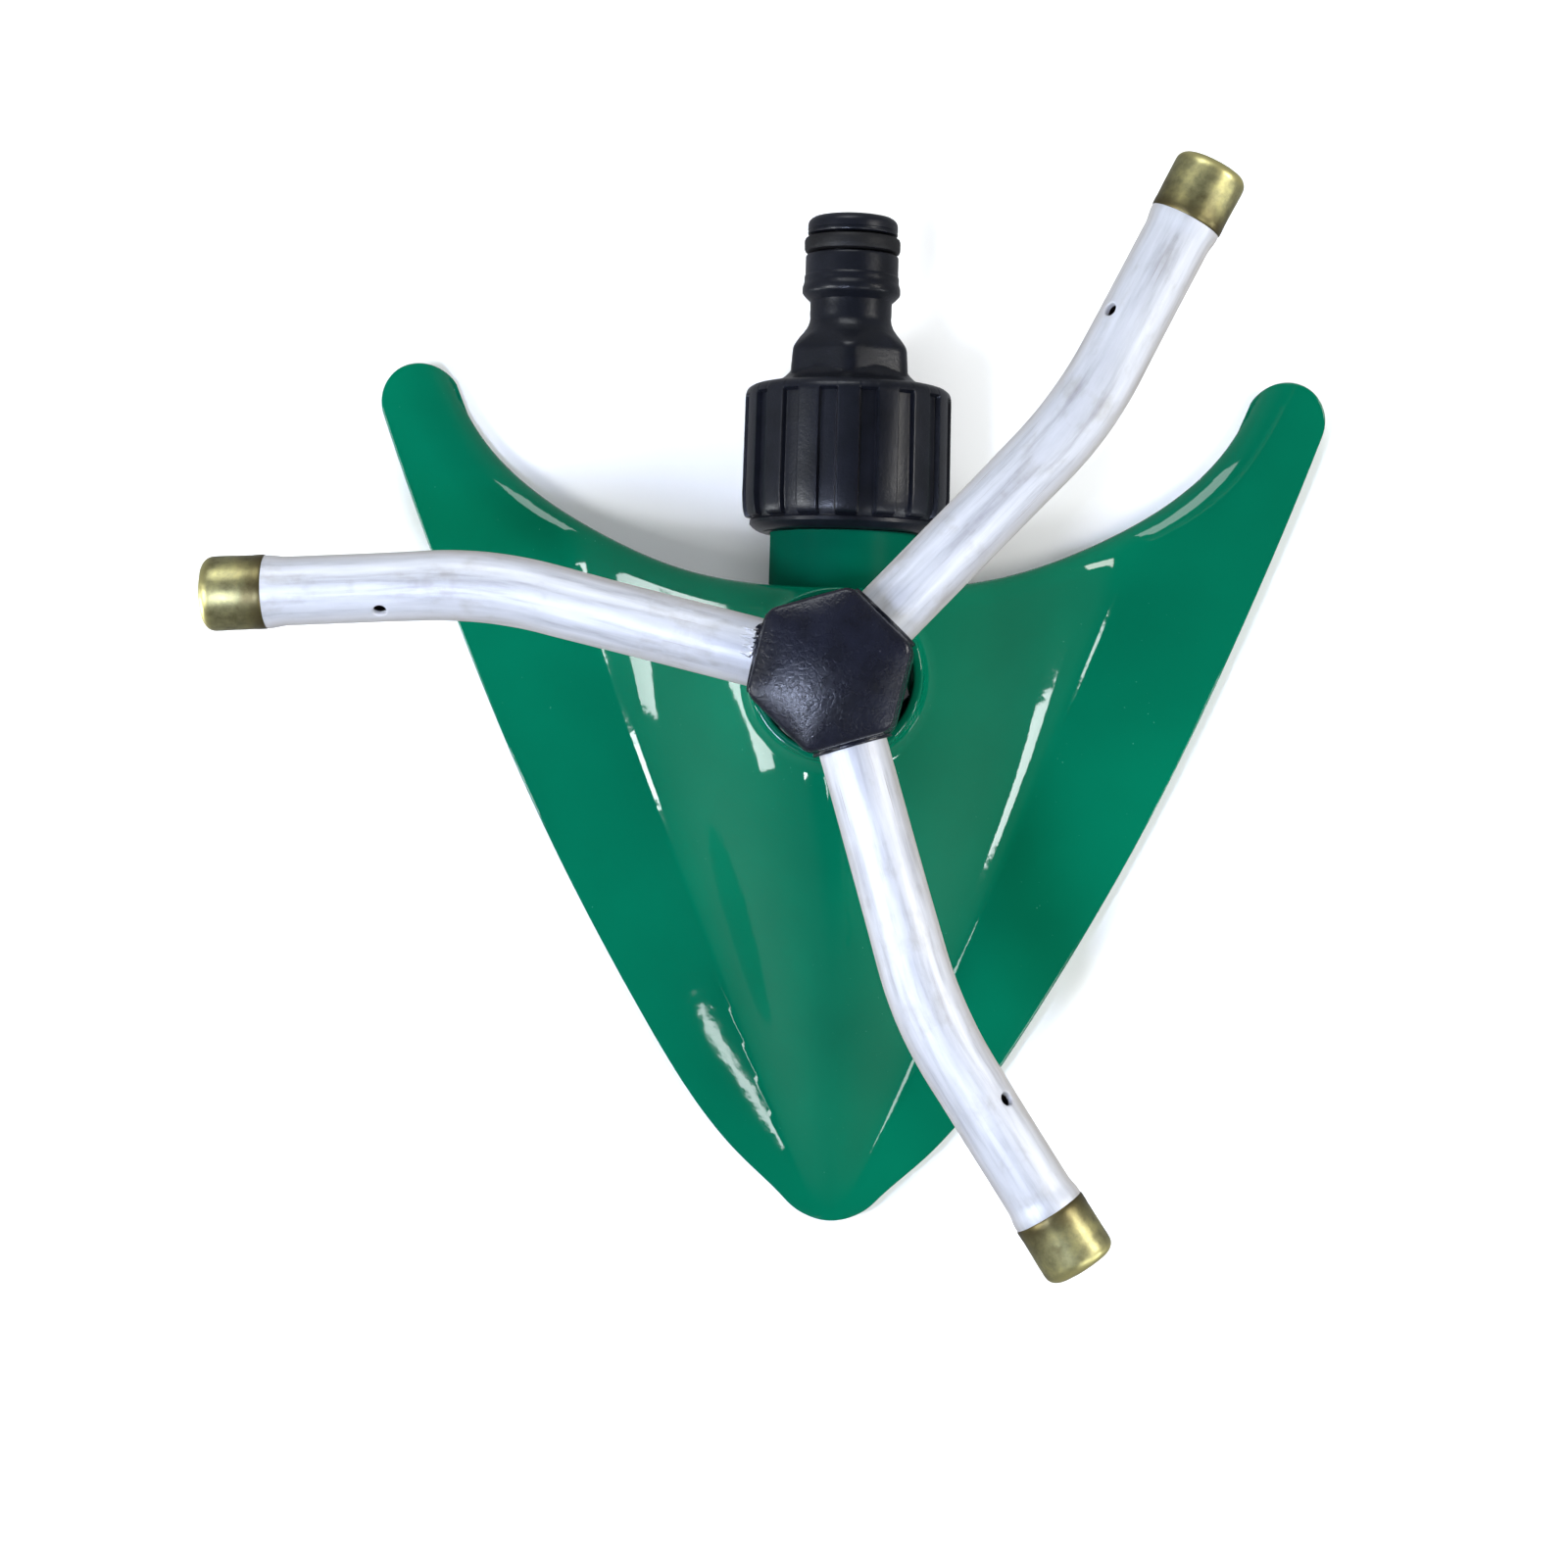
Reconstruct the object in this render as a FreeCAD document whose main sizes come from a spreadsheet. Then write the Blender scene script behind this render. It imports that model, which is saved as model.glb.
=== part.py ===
import FreeCAD, Part
import math
import os
import Sketcher
from FreeCAD import Placement, Rotation, Vector

# Three-arm rotary lawn sprinkler, in millimetres.
# +Z is up, +Y is the side where the hose joins, and the origin is on the
# rotor's axis at the level of the ground.

# ---------------------------------------------------------------- driving sizes

DIMENSIONS = {
    # base shell, seen from above
    "nose_reach": 96.6,
    "nose_radius": 11.0,
    "horn_x": 78.8,
    "horn_y": 49.2,
    "horn_radius": 7.1,
    "rear_edge_y": 15.2,
    # base shell, heights
    "shell_wall": 2.4,
    "skirt_height": 5.0,
    "ridge_height": 41.0,
    "wing_slope": 0.2,
    "rear_roll": 4.5,
    "rear_lip_depth": 6.0,
    "ring_radius": 14.7,
    "ring_top": 48.0,
    "ring_bore_radius": 13.0,
    "screw_boss_radius": 4.0,
    # inlet elbow
    "pipe_height": 20.0,
    "pipe_radius": 13.2,
    "pipe_bore_radius": 9.6,
    "pipe_end_y": 41.0,
    "socket_radius": 12.6,
    "socket_top": 43.5,
    "socket_floor": 8.0,
    "socket_bore_radius": 9.2,
    "ear_bottom": 14.0,
    "ear_thickness": 4.0,
    "ear_radius": 4.5,
    "ear_distance": 20.0,
    "ear_step": 72.0,
    "ear_hole_radius": 1.7,
    # screws that hold the elbow
    "screw_radius": 1.5,
    "screw_length": 10.0,
    "screw_head_radius": 3.0,
    "screw_head_height": 2.0,
    "screw_slot_width": 0.8,
    "screw_slot_length": 4.0,
    "screw_slot_depth": 1.0,
    "screw_hole_radius": 1.55,
    "screw_hole_depth": 7.5,
    # bearing nut and its washers
    "nut_flats": 22.3,
    "nut_turn": 15.8,
    "nut_head_bottom": 45.0,
    "nut_head_top": 51.5,
    "nut_stem_radius": 9.15,
    "nut_stem_bottom": 32.5,
    "nut_bore_radius": 5.05,
    "nut_corner_cut": 1.2,
    "seal_inner_radius": 9.4,
    "seal_outer_radius": 11.4,
    "washer_inner_radius": 5.2,
    "washer_outer_radius": 8.4,
    "washer_thickness": 1.2,
    "face_gap": 0.1,
    # spindle
    "spindle_radius": 5.0,
    "spindle_bore_radius": 3.2,
    "spindle_bottom": 28.4,
    "spindle_top": 59.0,
    "spindle_flange_radius": 8.2,
    "spindle_flange_height": 2.6,
    "o_ring_section_radius": 0.75,
    # hub and its cap
    "hub_flats": 24.6,
    "hub_bottom": 53.2,
    "hub_top": 69.0,
    "hub_floor": 57.0,
    "hub_chamber_radius": 7.0,
    "cap_flats": 24.0,
    "cap_top": 76.0,
    "cap_crown": 1.8,
    "cap_edge_round": 0.9,
    "cap_plug_radius": 6.9,
    "cap_plug_depth": 2.6,
    # arms
    "arm_height": 62.0,
    "arm_heading": 47.1,
    "tube_radius": 5.7,
    "tube_wall": 0.8,
    "tube_start": 7.4,
    "bend_distance": 58.5,
    "bend_angle": 16.5,
    "bend_radius": 69.0,
    "tip_distance": 46.8,
    "flare_radius": 6.05,
    "flare_length": 3.0,
    "jet_distance": 17.2,
    "jet_tilt": 47.0,
    "jet_radius": 0.8,
    # end caps
    "end_cap_radius": 6.2,
    "end_cap_inner_radius": 5.75,
    "end_cap_length": 10.4,
    "end_cap_floor": 0.7,
    "end_cap_round": 1.9,
    "end_cap_inner_round": 1.4,
    "end_cap_water_gap": 1.6,
    "end_cap_jet_offset": 3.7,
    # hose connector, stations along the pipe's axis from the rotor's axis
    "skirt_start": 24.6,
    "skirt_bore_radius": 13.28,
    "skirt_radius": 17.5,
    "skirt_round": 4.0,
    "washer_seat": 44.0,
    "shoulder_start": 50.4,
    "shoulder_end": 51.6,
    "shoulder_radius": 16.8,
    "hexagon_start": 54.2,
    "hexagon_end": 58.4,
    "hexagon_flats": 20.2,
    "neck_start": 64.0,
    "neck_end": 67.0,
    "neck_radius": 7.25,
    "collar_station": 69.0,
    "collar_radius": 8.7,
    "barrel_start": 70.2,
    "barrel_step": 71.4,
    "barrel_radius": 8.25,
    "groove_start": 75.2,
    "groove_end": 78.8,
    "groove_radius": 6.1,
    "nose_start": 79.3,
    "nose_end": 82.0,
    "spigot_nose_radius": 8.0,
    "spigot_bore_radius": 5.4,
    "grip_rib_count": 16,
    "grip_rib_width": 3.9,
    "grip_rib_radius": 18.4,
    "grip_rib_start": 28.2,
    "grip_rib_end": 50.0,
    "spigot_ring_section": 1.2,
    "connector_washer_thickness": 2.9,
    "connector_washer_inner": 7.0,
    "connector_turn": 2.2,
}

ARM_COUNT = 3

doc = FreeCAD.newDocument("Sprinkler")
sheet = doc.addObject("Spreadsheet::Sheet", "Dimensions")
for row, (alias, number) in enumerate(DIMENSIONS.items(), 1):
    sheet.set(f"A{row}", alias)
    sheet.set(f"B{row}", str(number))
    sheet.setAlias(f"B{row}", alias)
doc.recompute()


class Size:
    """A length that carries its number and the spreadsheet formula that gives it."""

    def __init__(self, number, formula):
        self.number = number
        self.formula = formula

    def __add__(self, other):
        other = as_size(other)
        return Size(self.number + other.number, f"({self.formula} + {other.formula})")

    def __sub__(self, other):
        other = as_size(other)
        return Size(self.number - other.number, f"({self.formula} - {other.formula})")

    def __mul__(self, other):
        other = as_size(other)
        return Size(self.number * other.number, f"({self.formula} * {other.formula})")

    def __truediv__(self, other):
        other = as_size(other)
        return Size(self.number / other.number, f"({self.formula} / {other.formula})")

    def __neg__(self):
        return Size(-self.number, f"(-1 * {self.formula})")


def as_size(thing):
    if isinstance(thing, Size):
        return thing
    return Size(float(thing), repr(float(thing)))


class Sizes:
    """Every spreadsheet cell as a Size, by its alias."""

    def __getattr__(self, alias):
        return Size(float(getattr(sheet, alias)), f"Dimensions.{alias}")


size = Sizes()

# ---------------------------------------------------------------- sketch helpers


def new_body(label):
    body = doc.addObject("PartDesign::Body", label)
    body.Label = label
    return body


def new_sketch(body, name, role, height=None):
    """An empty sketch on one of the body's own planes, raised by height along its normal."""
    plane = next(f for f in body.Origin.OriginFeatures if f.Role == role)
    sketch = body.newObject("Sketcher::SketchObject", name)
    sketch.AttachmentSupport = [(plane, "")]
    sketch.MapMode = "FlatFace"
    if height is not None:
        sketch.setExpression("AttachmentOffset.Base.z", height.formula)
    return sketch


def pin_point(sketch, geometry, position, point):
    """Fix a sketch point at a pair of sizes; a zero puts it on the axis."""
    for kind, axis, value in (("DistanceX", -2, point[0]), ("DistanceY", -1, point[1])):
        if value.number == 0:
            sketch.addConstraint(Sketcher.Constraint("PointOnObject", geometry, position, axis))
            continue
        index = sketch.addConstraint(
            Sketcher.Constraint(kind, -1, 1, geometry, position, value.number))
        sketch.setExpression(f"Constraints[{index}]", value.formula)


def draw_outline(sketch, points):
    """A closed outline of straight lines through points given as pairs of sizes."""
    corners = [(as_size(x), as_size(y)) for x, y in points]
    vectors = [Vector(x.number, y.number, 0) for x, y in corners]
    first = sketch.GeometryCount
    count = len(corners)
    for i in range(count):
        sketch.addGeometry(Part.LineSegment(vectors[i], vectors[(i + 1) % count]))
    for i in range(count):
        following = first + (i + 1) % count
        sketch.addConstraint(Sketcher.Constraint("Coincident", first + i, 2, following, 1))
    for i, corner in enumerate(corners):
        pin_point(sketch, first + i, 1, corner)


def draw_circle(sketch, centre, radius):
    x, y = as_size(centre[0]), as_size(centre[1])
    index = sketch.addGeometry(
        Part.Circle(Vector(x.number, y.number, 0), Vector(0, 0, 1), radius.number))
    pin_point(sketch, index, 3, (x, y))
    constraint = sketch.addConstraint(Sketcher.Constraint("Radius", index, radius.number))
    sketch.setExpression(f"Constraints[{constraint}]", radius.formula)


def hexagon_corners(flats):
    """Corners of a hexagon with two flats square to the sketch's first axis."""
    half = flats / 2
    near = flats / (2 * math.sqrt(3))
    far = flats / math.sqrt(3)
    return [(half, -near), (half, near), (0, far), (-half, near), (-half, -near), (0, -far)]


def extrude(body, name, sketch, length, cut=False, reverse=False):
    feature = body.newObject("PartDesign::Pocket" if cut else "PartDesign::Pad", name)
    feature.Profile = sketch
    feature.Reversed = reverse
    feature.setExpression("Length", length.formula)
    return feature


def revolve(body, name, sketch, cut=False, axis="V_Axis"):
    feature = body.newObject("PartDesign::Groove" if cut else "PartDesign::Revolution", name)
    feature.Profile = sketch
    feature.ReferenceAxis = (sketch, [axis])
    feature.Angle = 360
    return feature


def turn(body, name, points, cut=False):
    """A turned shape about the body's upright axis; points are (radius, height)."""
    sketch = new_sketch(body, name + "_profile", "XZ_Plane")
    draw_outline(sketch, points)
    return revolve(body, name, sketch, cut)


def repeat_round(body, name, features, count):
    """Copies of features at even steps round the body's upright axis."""
    upright = next(f for f in body.Origin.OriginFeatures if f.Role == "Z_Axis")
    doc.recompute()
    pattern = body.newObject("PartDesign::PolarPattern", name)
    pattern.Originals = features
    pattern.Axis = (upright, [""])
    pattern.Angle = 360
    pattern.Occurrences = count
    body.Tip = pattern
    return pattern


def round_edges(body, name, radius, chosen):
    """A fillet on the edges of the body's last feature that chosen() accepts."""
    doc.recompute()
    base = body.Tip
    names = [f"Edge{i}" for i, edge in enumerate(base.Shape.Edges, 1) if chosen(edge)]
    fillet = body.newObject("PartDesign::Fillet", name)
    fillet.Base = (base, names)
    fillet.setExpression("Radius", radius.formula)
    return fillet


def is_circle_at(edge, radius, height):
    """True for a full circle of this radius about the body's axis at this height."""
    curve = edge.Curve
    if curve.TypeId != "Part::GeomCircle":
        return False
    off_axis = math.hypot(curve.Center.x, curve.Center.y)
    return off_axis < 0.01 and abs(curve.Radius - radius) < 0.01 and abs(curve.Center.z - height) < 0.01


# ---------------------------------------------------------------- base shell


def half_width(y):
    """Distance from the middle to the shell's side edge at y."""
    behind_nose = max(y + size.nose_reach.number, 0.8)
    return 3.76 * behind_nose ** 0.63


def valley_distance(y):
    """Distance from the middle to the valley between ridge and wing at y."""
    return 0.42 * max(y + 100, 2.0) + 1.5


def top_height(x, y):
    """Height of the shell's upper surface: wings that fall to the skirt, and a rounded ridge."""
    width = half_width(y)
    middle = size.skirt_height.number + size.wing_slope.number * width / 2
    wing = middle - size.wing_slope.number * x * x / (2 * width)
    rise = min(max((y + 97) / 92, 0), 1)
    full = size.skirt_height.number
    full += (size.ridge_height.number - full) * math.sin(rise * math.pi / 2) ** 1.3
    across = min(abs(x) / valley_distance(y), 1)
    return wing + max(full - middle, 0) * (1 - across ** 2) ** 2


def rear_curve():
    """The shell's concave rear edge from above, as far out as past both horns."""
    middle = size.rear_edge_y.number
    half = [(26, 18.1), (45, 25.9), (60, 35.4), (67.5, 43.0), (75, 56.0), (80, 66.0)]
    points = [Vector(-x, y, 0) for x, y in reversed(half)]
    points += [Vector(0, middle, 0)]
    points += [Vector(x, y, 0) for x, y in half]
    curve = Part.BSplineCurve()
    curve.interpolate(points)
    return curve


def block_under(plan_inset, lowered):
    """Solid under the shell's surface, with its rear edge moved in and its top lowered."""
    across_steps = 36
    fan_steps = 18
    roll = size.rear_roll.number - max(plan_inset, 0)
    rear = rear_curve()
    first, last = rear.FirstParameter, rear.LastParameter
    roll_angles = [i * math.pi / 12 for i in range(7)]
    rows = []
    for step in range(fan_steps):
        rows.append([None] * (across_steps + 1))
    for angle in roll_angles:
        rows.append([None] * (across_steps + 1))
    for i in range(across_steps + 1):
        along = first + (last - first) * i / across_steps
        edge = rear.value(along)
        tangent = rear.tangent(along)[0]
        inward = Vector(tangent.y, -tangent.x, 0)
        spread = 2 * i / across_steps - 1
        nose = Vector(7 * spread, -size.nose_reach.number - 8, 0)
        start = edge + inward * (plan_inset + roll)
        for step in range(fan_steps):
            part = step / fan_steps
            bulge = 1 + 1.8 * part * (1 - part)
            point = nose + (start - nose) * part
            rows[step][i] = Vector(point.x * bulge, point.y, 0)
        for step, angle in enumerate(roll_angles):
            point = start - inward * roll * math.sin(angle)
            rows[fan_steps + step][i] = point
    for number, line in enumerate(rows):
        angle = roll_angles[max(number - fan_steps, 0)]
        drop = roll * (1 - math.cos(angle)) + lowered
        for point in line:
            point.z = top_height(point.x, point.y) - drop
    surface = Part.BSplineSurface()
    surface.interpolate(rows)
    return surface.toShape().extrude(Vector(0, 0, -120))


def side_curve(inset):
    """The shell's right side edge from nose to horn, moved in by inset, and its two ends."""
    nose_radius = size.nose_radius.number
    nose_y = nose_radius - size.nose_reach.number
    nose_angle = math.radians(-43)
    horn_angle = math.radians(-20)
    nose_out = Vector(math.cos(nose_angle), math.sin(nose_angle), 0)
    horn_out = Vector(math.cos(horn_angle), math.sin(horn_angle), 0)
    nose_end = Vector(0, nose_y, 0) + nose_out * nose_radius
    horn_start = Vector(size.horn_x.number, size.horn_y.number, 0) + horn_out * size.horn_radius.number
    ends = {"InitialTangent": Vector(-nose_out.y, nose_out.x, 0),
            "FinalTangent": Vector(-horn_out.y, horn_out.x, 0)}
    edge = Part.BSplineCurve()
    edge.interpolate(
        Points=[nose_end, Vector(16.2, -85.6, 0), Vector(33.9, -62.2, 0), Vector(57.1, -20.6, 0),
                Vector(70.6, 9.2, 0), horn_start], **ends)
    if inset == 0:
        return edge
    steps = 10
    points = []
    for i in range(steps + 1):
        along = edge.FirstParameter + (edge.LastParameter - edge.FirstParameter) * i / steps
        tangent = edge.tangent(along)[0]
        points.append(edge.value(along) + Vector(-tangent.y, tangent.x, 0) * inset)
    moved = Part.BSplineCurve()
    moved.interpolate(Points=points, **ends)
    return moved


def plan_prism(inset, height):
    """Upright prism inside the shell's side edges, nose and horn tips."""
    side = side_curve(inset)
    horn = Vector(size.horn_x.number, size.horn_y.number, 0)
    horn_radius = size.horn_radius.number - inset
    nose_end = side.StartPoint
    horn_start = side.EndPoint
    horn_end = horn + Vector(-0.5, math.sqrt(0.75), 0) * horn_radius
    horn_tip = horn + Vector(math.sqrt(0.5), math.sqrt(0.5), 0) * horn_radius
    tip = Part.Arc(horn_start, horn_tip, horn_end)
    right = [side.toShape(), tip.toShape()]
    left = [edge.mirror(Vector(0, 0, 0), Vector(1, 0, 0)) for edge in right]
    foremost = Vector(0, inset - size.nose_reach.number, 0)
    nose = Part.Arc(Vector(-nose_end.x, nose_end.y, 0), foremost, nose_end)
    across = Part.LineSegment(horn_end, Vector(-horn_end.x, horn_end.y, 0))
    edges = right + left + [nose.toShape(), across.toShape()]
    wire = Part.Wire(Part.__sortEdges__(edges))
    return Part.Face(wire).extrude(Vector(0, 0, height))


def hidden_shape(name, shape):
    feature = doc.addObject("Part::Feature", name)
    feature.Shape = shape
    return feature


def boolean(kind, name, base, tool):
    feature = doc.addObject(f"Part::{kind}", name)
    feature.Base = base
    feature.Tool = tool
    return feature


def upright_cylinder(name, radius, bottom, height, x=0.0, y=0.0):
    cylinder = doc.addObject("Part::Cylinder", name)
    cylinder.setExpression("Radius", radius.formula)
    cylinder.setExpression("Height", height.formula)
    cylinder.Placement.Base = Vector(x, y, 0)
    cylinder.setExpression("Placement.Base.z", bottom.formula)
    return cylinder


def ear_points():
    """Centres of the elbow's screws: one towards the nose and one to each side."""
    distance = size.ear_distance.number
    angles = [math.radians(size.ear_step.number * i - 90) for i in (-1, 0, 1)]
    return [(distance * math.cos(angle), distance * math.sin(angle)) for angle in angles]


def make_base_shell():
    wall = size.shell_wall.number
    skin_room = 80
    outer = block_under(0, 0).common(plan_prism(0, skin_room))
    inner = block_under(wall, wall).common(plan_prism(wall, skin_room))
    arch = block_under(-3, size.rear_lip_depth.number).common(plan_prism(0, skin_room))
    outer = hidden_shape("shell_outside", outer)
    hollow = hidden_shape("shell_inside", inner)
    rear_arch = hidden_shape("shell_rear_arch", arch)
    hollowed = boolean("Cut", "shell_hollowed", outer, hollow)
    arched = boolean("Cut", "shell_arched", hollowed, rear_arch)
    ring_bottom = size.socket_top - 9
    ring = upright_cylinder("shell_ring", size.ring_radius, ring_bottom, size.ring_top - ring_bottom)
    posts = [ring]
    boss_bottom = size.ear_bottom + size.ear_thickness + size.face_gap
    for number, (x, y) in enumerate(ear_points(), 1):
        post = upright_cylinder(f"boss_post_{number}", size.screw_boss_radius, boss_bottom,
                                size.ridge_height, x, y)
        boss = boolean("Common", f"screw_boss_{number}", post, outer)
        posts.append(boss)
    joined = doc.addObject("Part::MultiFuse", "shell_with_bosses")
    joined.Shapes = [arched] + posts
    bores = [upright_cylinder("ring_bore", size.ring_bore_radius, ring_bottom - 6, size.ring_top)]
    for number, (x, y) in enumerate(ear_points(), 1):
        bores.append(upright_cylinder(f"screw_bore_{number}", size.screw_hole_radius, boss_bottom - 1,
                                      size.screw_hole_depth + 1, x, y))
    drill = doc.addObject("Part::MultiFuse", "shell_bores")
    drill.Shapes = bores
    drilled = boolean("Cut", "shell_drilled", joined, drill)
    doc.recompute()
    radius = size.ring_radius.number
    rim = [i for i, edge in enumerate(drilled.Shape.Edges, 1)
           if edge.Curve.TypeId == "Part::GeomCircle"
           and is_circle_at(edge, edge.Curve.Radius, size.ring_top.number)]
    shell = doc.addObject("Part::Fillet", "base_shell")
    shell.Base = drilled
    shell.Edges = [(i, 0.6, 0.6) for i in rim]
    shell.Label = "base_shell"
    return shell


# ---------------------------------------------------------------- elbow and screws


def make_inlet_elbow():
    body = new_body("inlet_elbow")
    section = new_sketch(body, "pipe_section", "XZ_Plane")
    draw_circle(section, (0, size.pipe_height), size.pipe_radius)
    extrude(body, "pipe", section, size.pipe_end_y, reverse=True)
    socket = new_sketch(body, "socket_section", "XY_Plane")
    draw_circle(socket, (0, 0), size.socket_radius)
    extrude(body, "socket", socket, size.socket_top)
    for number, (x, y) in enumerate(ear_points(), 1):
        swing = Rotation(Vector(0, 0, 1), math.degrees(math.atan2(y, x)))
        web = new_sketch(body, f"ear_web_section_{number}", "XY_Plane", size.ear_bottom)
        web.AttachmentOffset.Rotation = swing
        draw_outline(web, [(0, -size.ear_radius), (size.ear_distance, -size.ear_radius),
                           (size.ear_distance, size.ear_radius), (0, size.ear_radius)])
        extrude(body, f"ear_web_{number}", web, size.ear_thickness)
        end = new_sketch(body, f"ear_end_section_{number}", "XY_Plane", size.ear_bottom)
        end.AttachmentOffset.Rotation = swing
        draw_circle(end, (size.ear_distance, 0), size.ear_radius)
        extrude(body, f"ear_end_{number}", end, size.ear_thickness)
        hole = new_sketch(body, f"ear_hole_section_{number}", "XY_Plane", size.ear_bottom - 1)
        hole.AttachmentOffset.Rotation = swing
        draw_circle(hole, (size.ear_distance, 0), size.ear_hole_radius)
        extrude(body, f"ear_hole_{number}", hole, size.ear_thickness + 2, cut=True, reverse=True)
    bore = new_sketch(body, "pipe_bore_section", "XZ_Plane")
    draw_circle(bore, (0, size.pipe_height), size.pipe_bore_radius)
    extrude(body, "pipe_bore", bore, size.pipe_end_y + 1, cut=True)
    turn(body, "socket_bore", [
        (0, size.socket_floor), (size.socket_bore_radius, size.socket_floor),
        (size.socket_bore_radius, size.socket_top + 1), (0, size.socket_top + 1)], cut=True)
    return body


def make_screw(number, x, y):
    body = new_body(f"elbow_screw_{number}")
    turn(body, f"screw_shape_{number}", [
        (0, -size.screw_head_height), (size.screw_head_radius * 0.7, -size.screw_head_height),
        (size.screw_head_radius, -size.screw_head_height * 0.4), (size.screw_head_radius, 0),
        (size.screw_radius, 0), (size.screw_radius, size.screw_length - size.screw_radius),
        (0, size.screw_length)])
    for turned in (False, True):
        long_half = size.screw_slot_length / 2
        short_half = size.screw_slot_width / 2
        reach = (short_half, long_half) if turned else (long_half, short_half)
        slot = new_sketch(body, f"slot_{number}_{int(turned)}", "XY_Plane",
                          size.screw_slot_depth - size.screw_head_height)
        draw_outline(slot, [(-reach[0], -reach[1]), (reach[0], -reach[1]),
                            (reach[0], reach[1]), (-reach[0], reach[1])])
        extrude(body, f"slot_cut_{number}_{int(turned)}", slot, size.screw_head_height, cut=True)
    body.Placement.Base = Vector(x, y, 0)
    body.setExpression("Placement.Base.z", size.ear_bottom.formula)
    return body


def make_elbow_screws():
    screws = [make_screw(number, x, y) for number, (x, y) in enumerate(ear_points(), 1)]
    group = doc.addObject("Part::Compound", "elbow_screws")
    group.Label = "elbow_screws"
    group.Links = screws
    return group


# ---------------------------------------------------------------- bearing


def make_bearing_nut():
    body = new_body("bearing_nut")
    head = new_sketch(body, "nut_head_section", "XY_Plane", size.nut_head_bottom)
    draw_outline(head, hexagon_corners(size.nut_flats))
    extrude(body, "nut_head", head, size.nut_head_top - size.nut_head_bottom)
    turn(body, "nut_stem", [
        (0, size.nut_stem_bottom), (size.nut_stem_radius - 0.6, size.nut_stem_bottom),
        (size.nut_stem_radius, size.nut_stem_bottom + 0.6), (size.nut_stem_radius, size.nut_head_bottom + 1),
        (0, size.nut_head_bottom + 1)])
    flat_half = size.nut_flats / 2
    turn(body, "nut_corner_cut", [
        (flat_half, size.nut_head_top + 1), (flat_half + 3, size.nut_head_top + 1),
        (flat_half + 3, size.nut_head_top - size.nut_corner_cut), (flat_half, size.nut_head_top)], cut=True)
    turn(body, "nut_bore", [
        (0, size.nut_stem_bottom - 1), (size.nut_bore_radius, size.nut_stem_bottom - 1),
        (size.nut_bore_radius, size.nut_head_top + 1), (0, size.nut_head_top + 1)], cut=True)
    body.Placement.Rotation = Rotation(Vector(0, 0, 1), size.nut_turn.number)
    return body


def make_flat_ring(label, inner, outer, bottom, thickness):
    body = new_body(label)
    turn(body, label + "_shape", [(inner, bottom), (outer, bottom),
                                  (outer, bottom + thickness), (inner, bottom + thickness)])
    return body


def make_o_ring(label, ring_radius, section_radius, height):
    body = new_body(label)
    section = new_sketch(body, label + "_section", "XZ_Plane")
    draw_circle(section, (ring_radius, height), section_radius)
    revolve(body, label + "_shape", section)
    return body


def make_spindle():
    body = new_body("spindle")
    flange_top = size.spindle_bottom + size.spindle_flange_height
    turn(body, "spindle_shape", [
        (size.spindle_bore_radius, size.spindle_bottom), (size.spindle_flange_radius, size.spindle_bottom),
        (size.spindle_flange_radius, flange_top), (size.spindle_radius, flange_top),
        (size.spindle_radius, size.spindle_top - 0.6), (size.spindle_radius - 0.6, size.spindle_top),
        (size.spindle_bore_radius, size.spindle_top)])
    return body


# ---------------------------------------------------------------- hub


def make_hub_body():
    body = new_body("hub_body")
    block = new_sketch(body, "hub_section", "XY_Plane", size.hub_bottom)
    draw_outline(block, hexagon_corners(size.hub_flats))
    extrude(body, "hub_block", block, size.hub_top - size.hub_bottom)
    ring_room = size.spindle_radius + size.o_ring_section_radius * 2 + 0.1
    ring_seat = size.hub_bottom + size.o_ring_section_radius * 2 + 0.15
    grip = size.spindle_radius + 0.03
    turn(body, "hub_chamber", [
        (0, size.hub_bottom - 1), (ring_room, size.hub_bottom - 1), (ring_room, ring_seat),
        (grip, ring_seat), (grip, size.hub_floor), (size.hub_chamber_radius, size.hub_floor),
        (size.hub_chamber_radius, size.hub_top + 1), (0, size.hub_top + 1)], cut=True)
    socket = new_sketch(body, "arm_socket_section", "YZ_Plane")
    draw_circle(socket, (0, size.arm_height), size.tube_radius + 0.03)
    cut = extrude(body, "arm_socket", socket, size.hub_flats, cut=True, reverse=True)
    repeat_round(body, "arm_sockets", [cut], ARM_COUNT)
    return body


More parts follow.
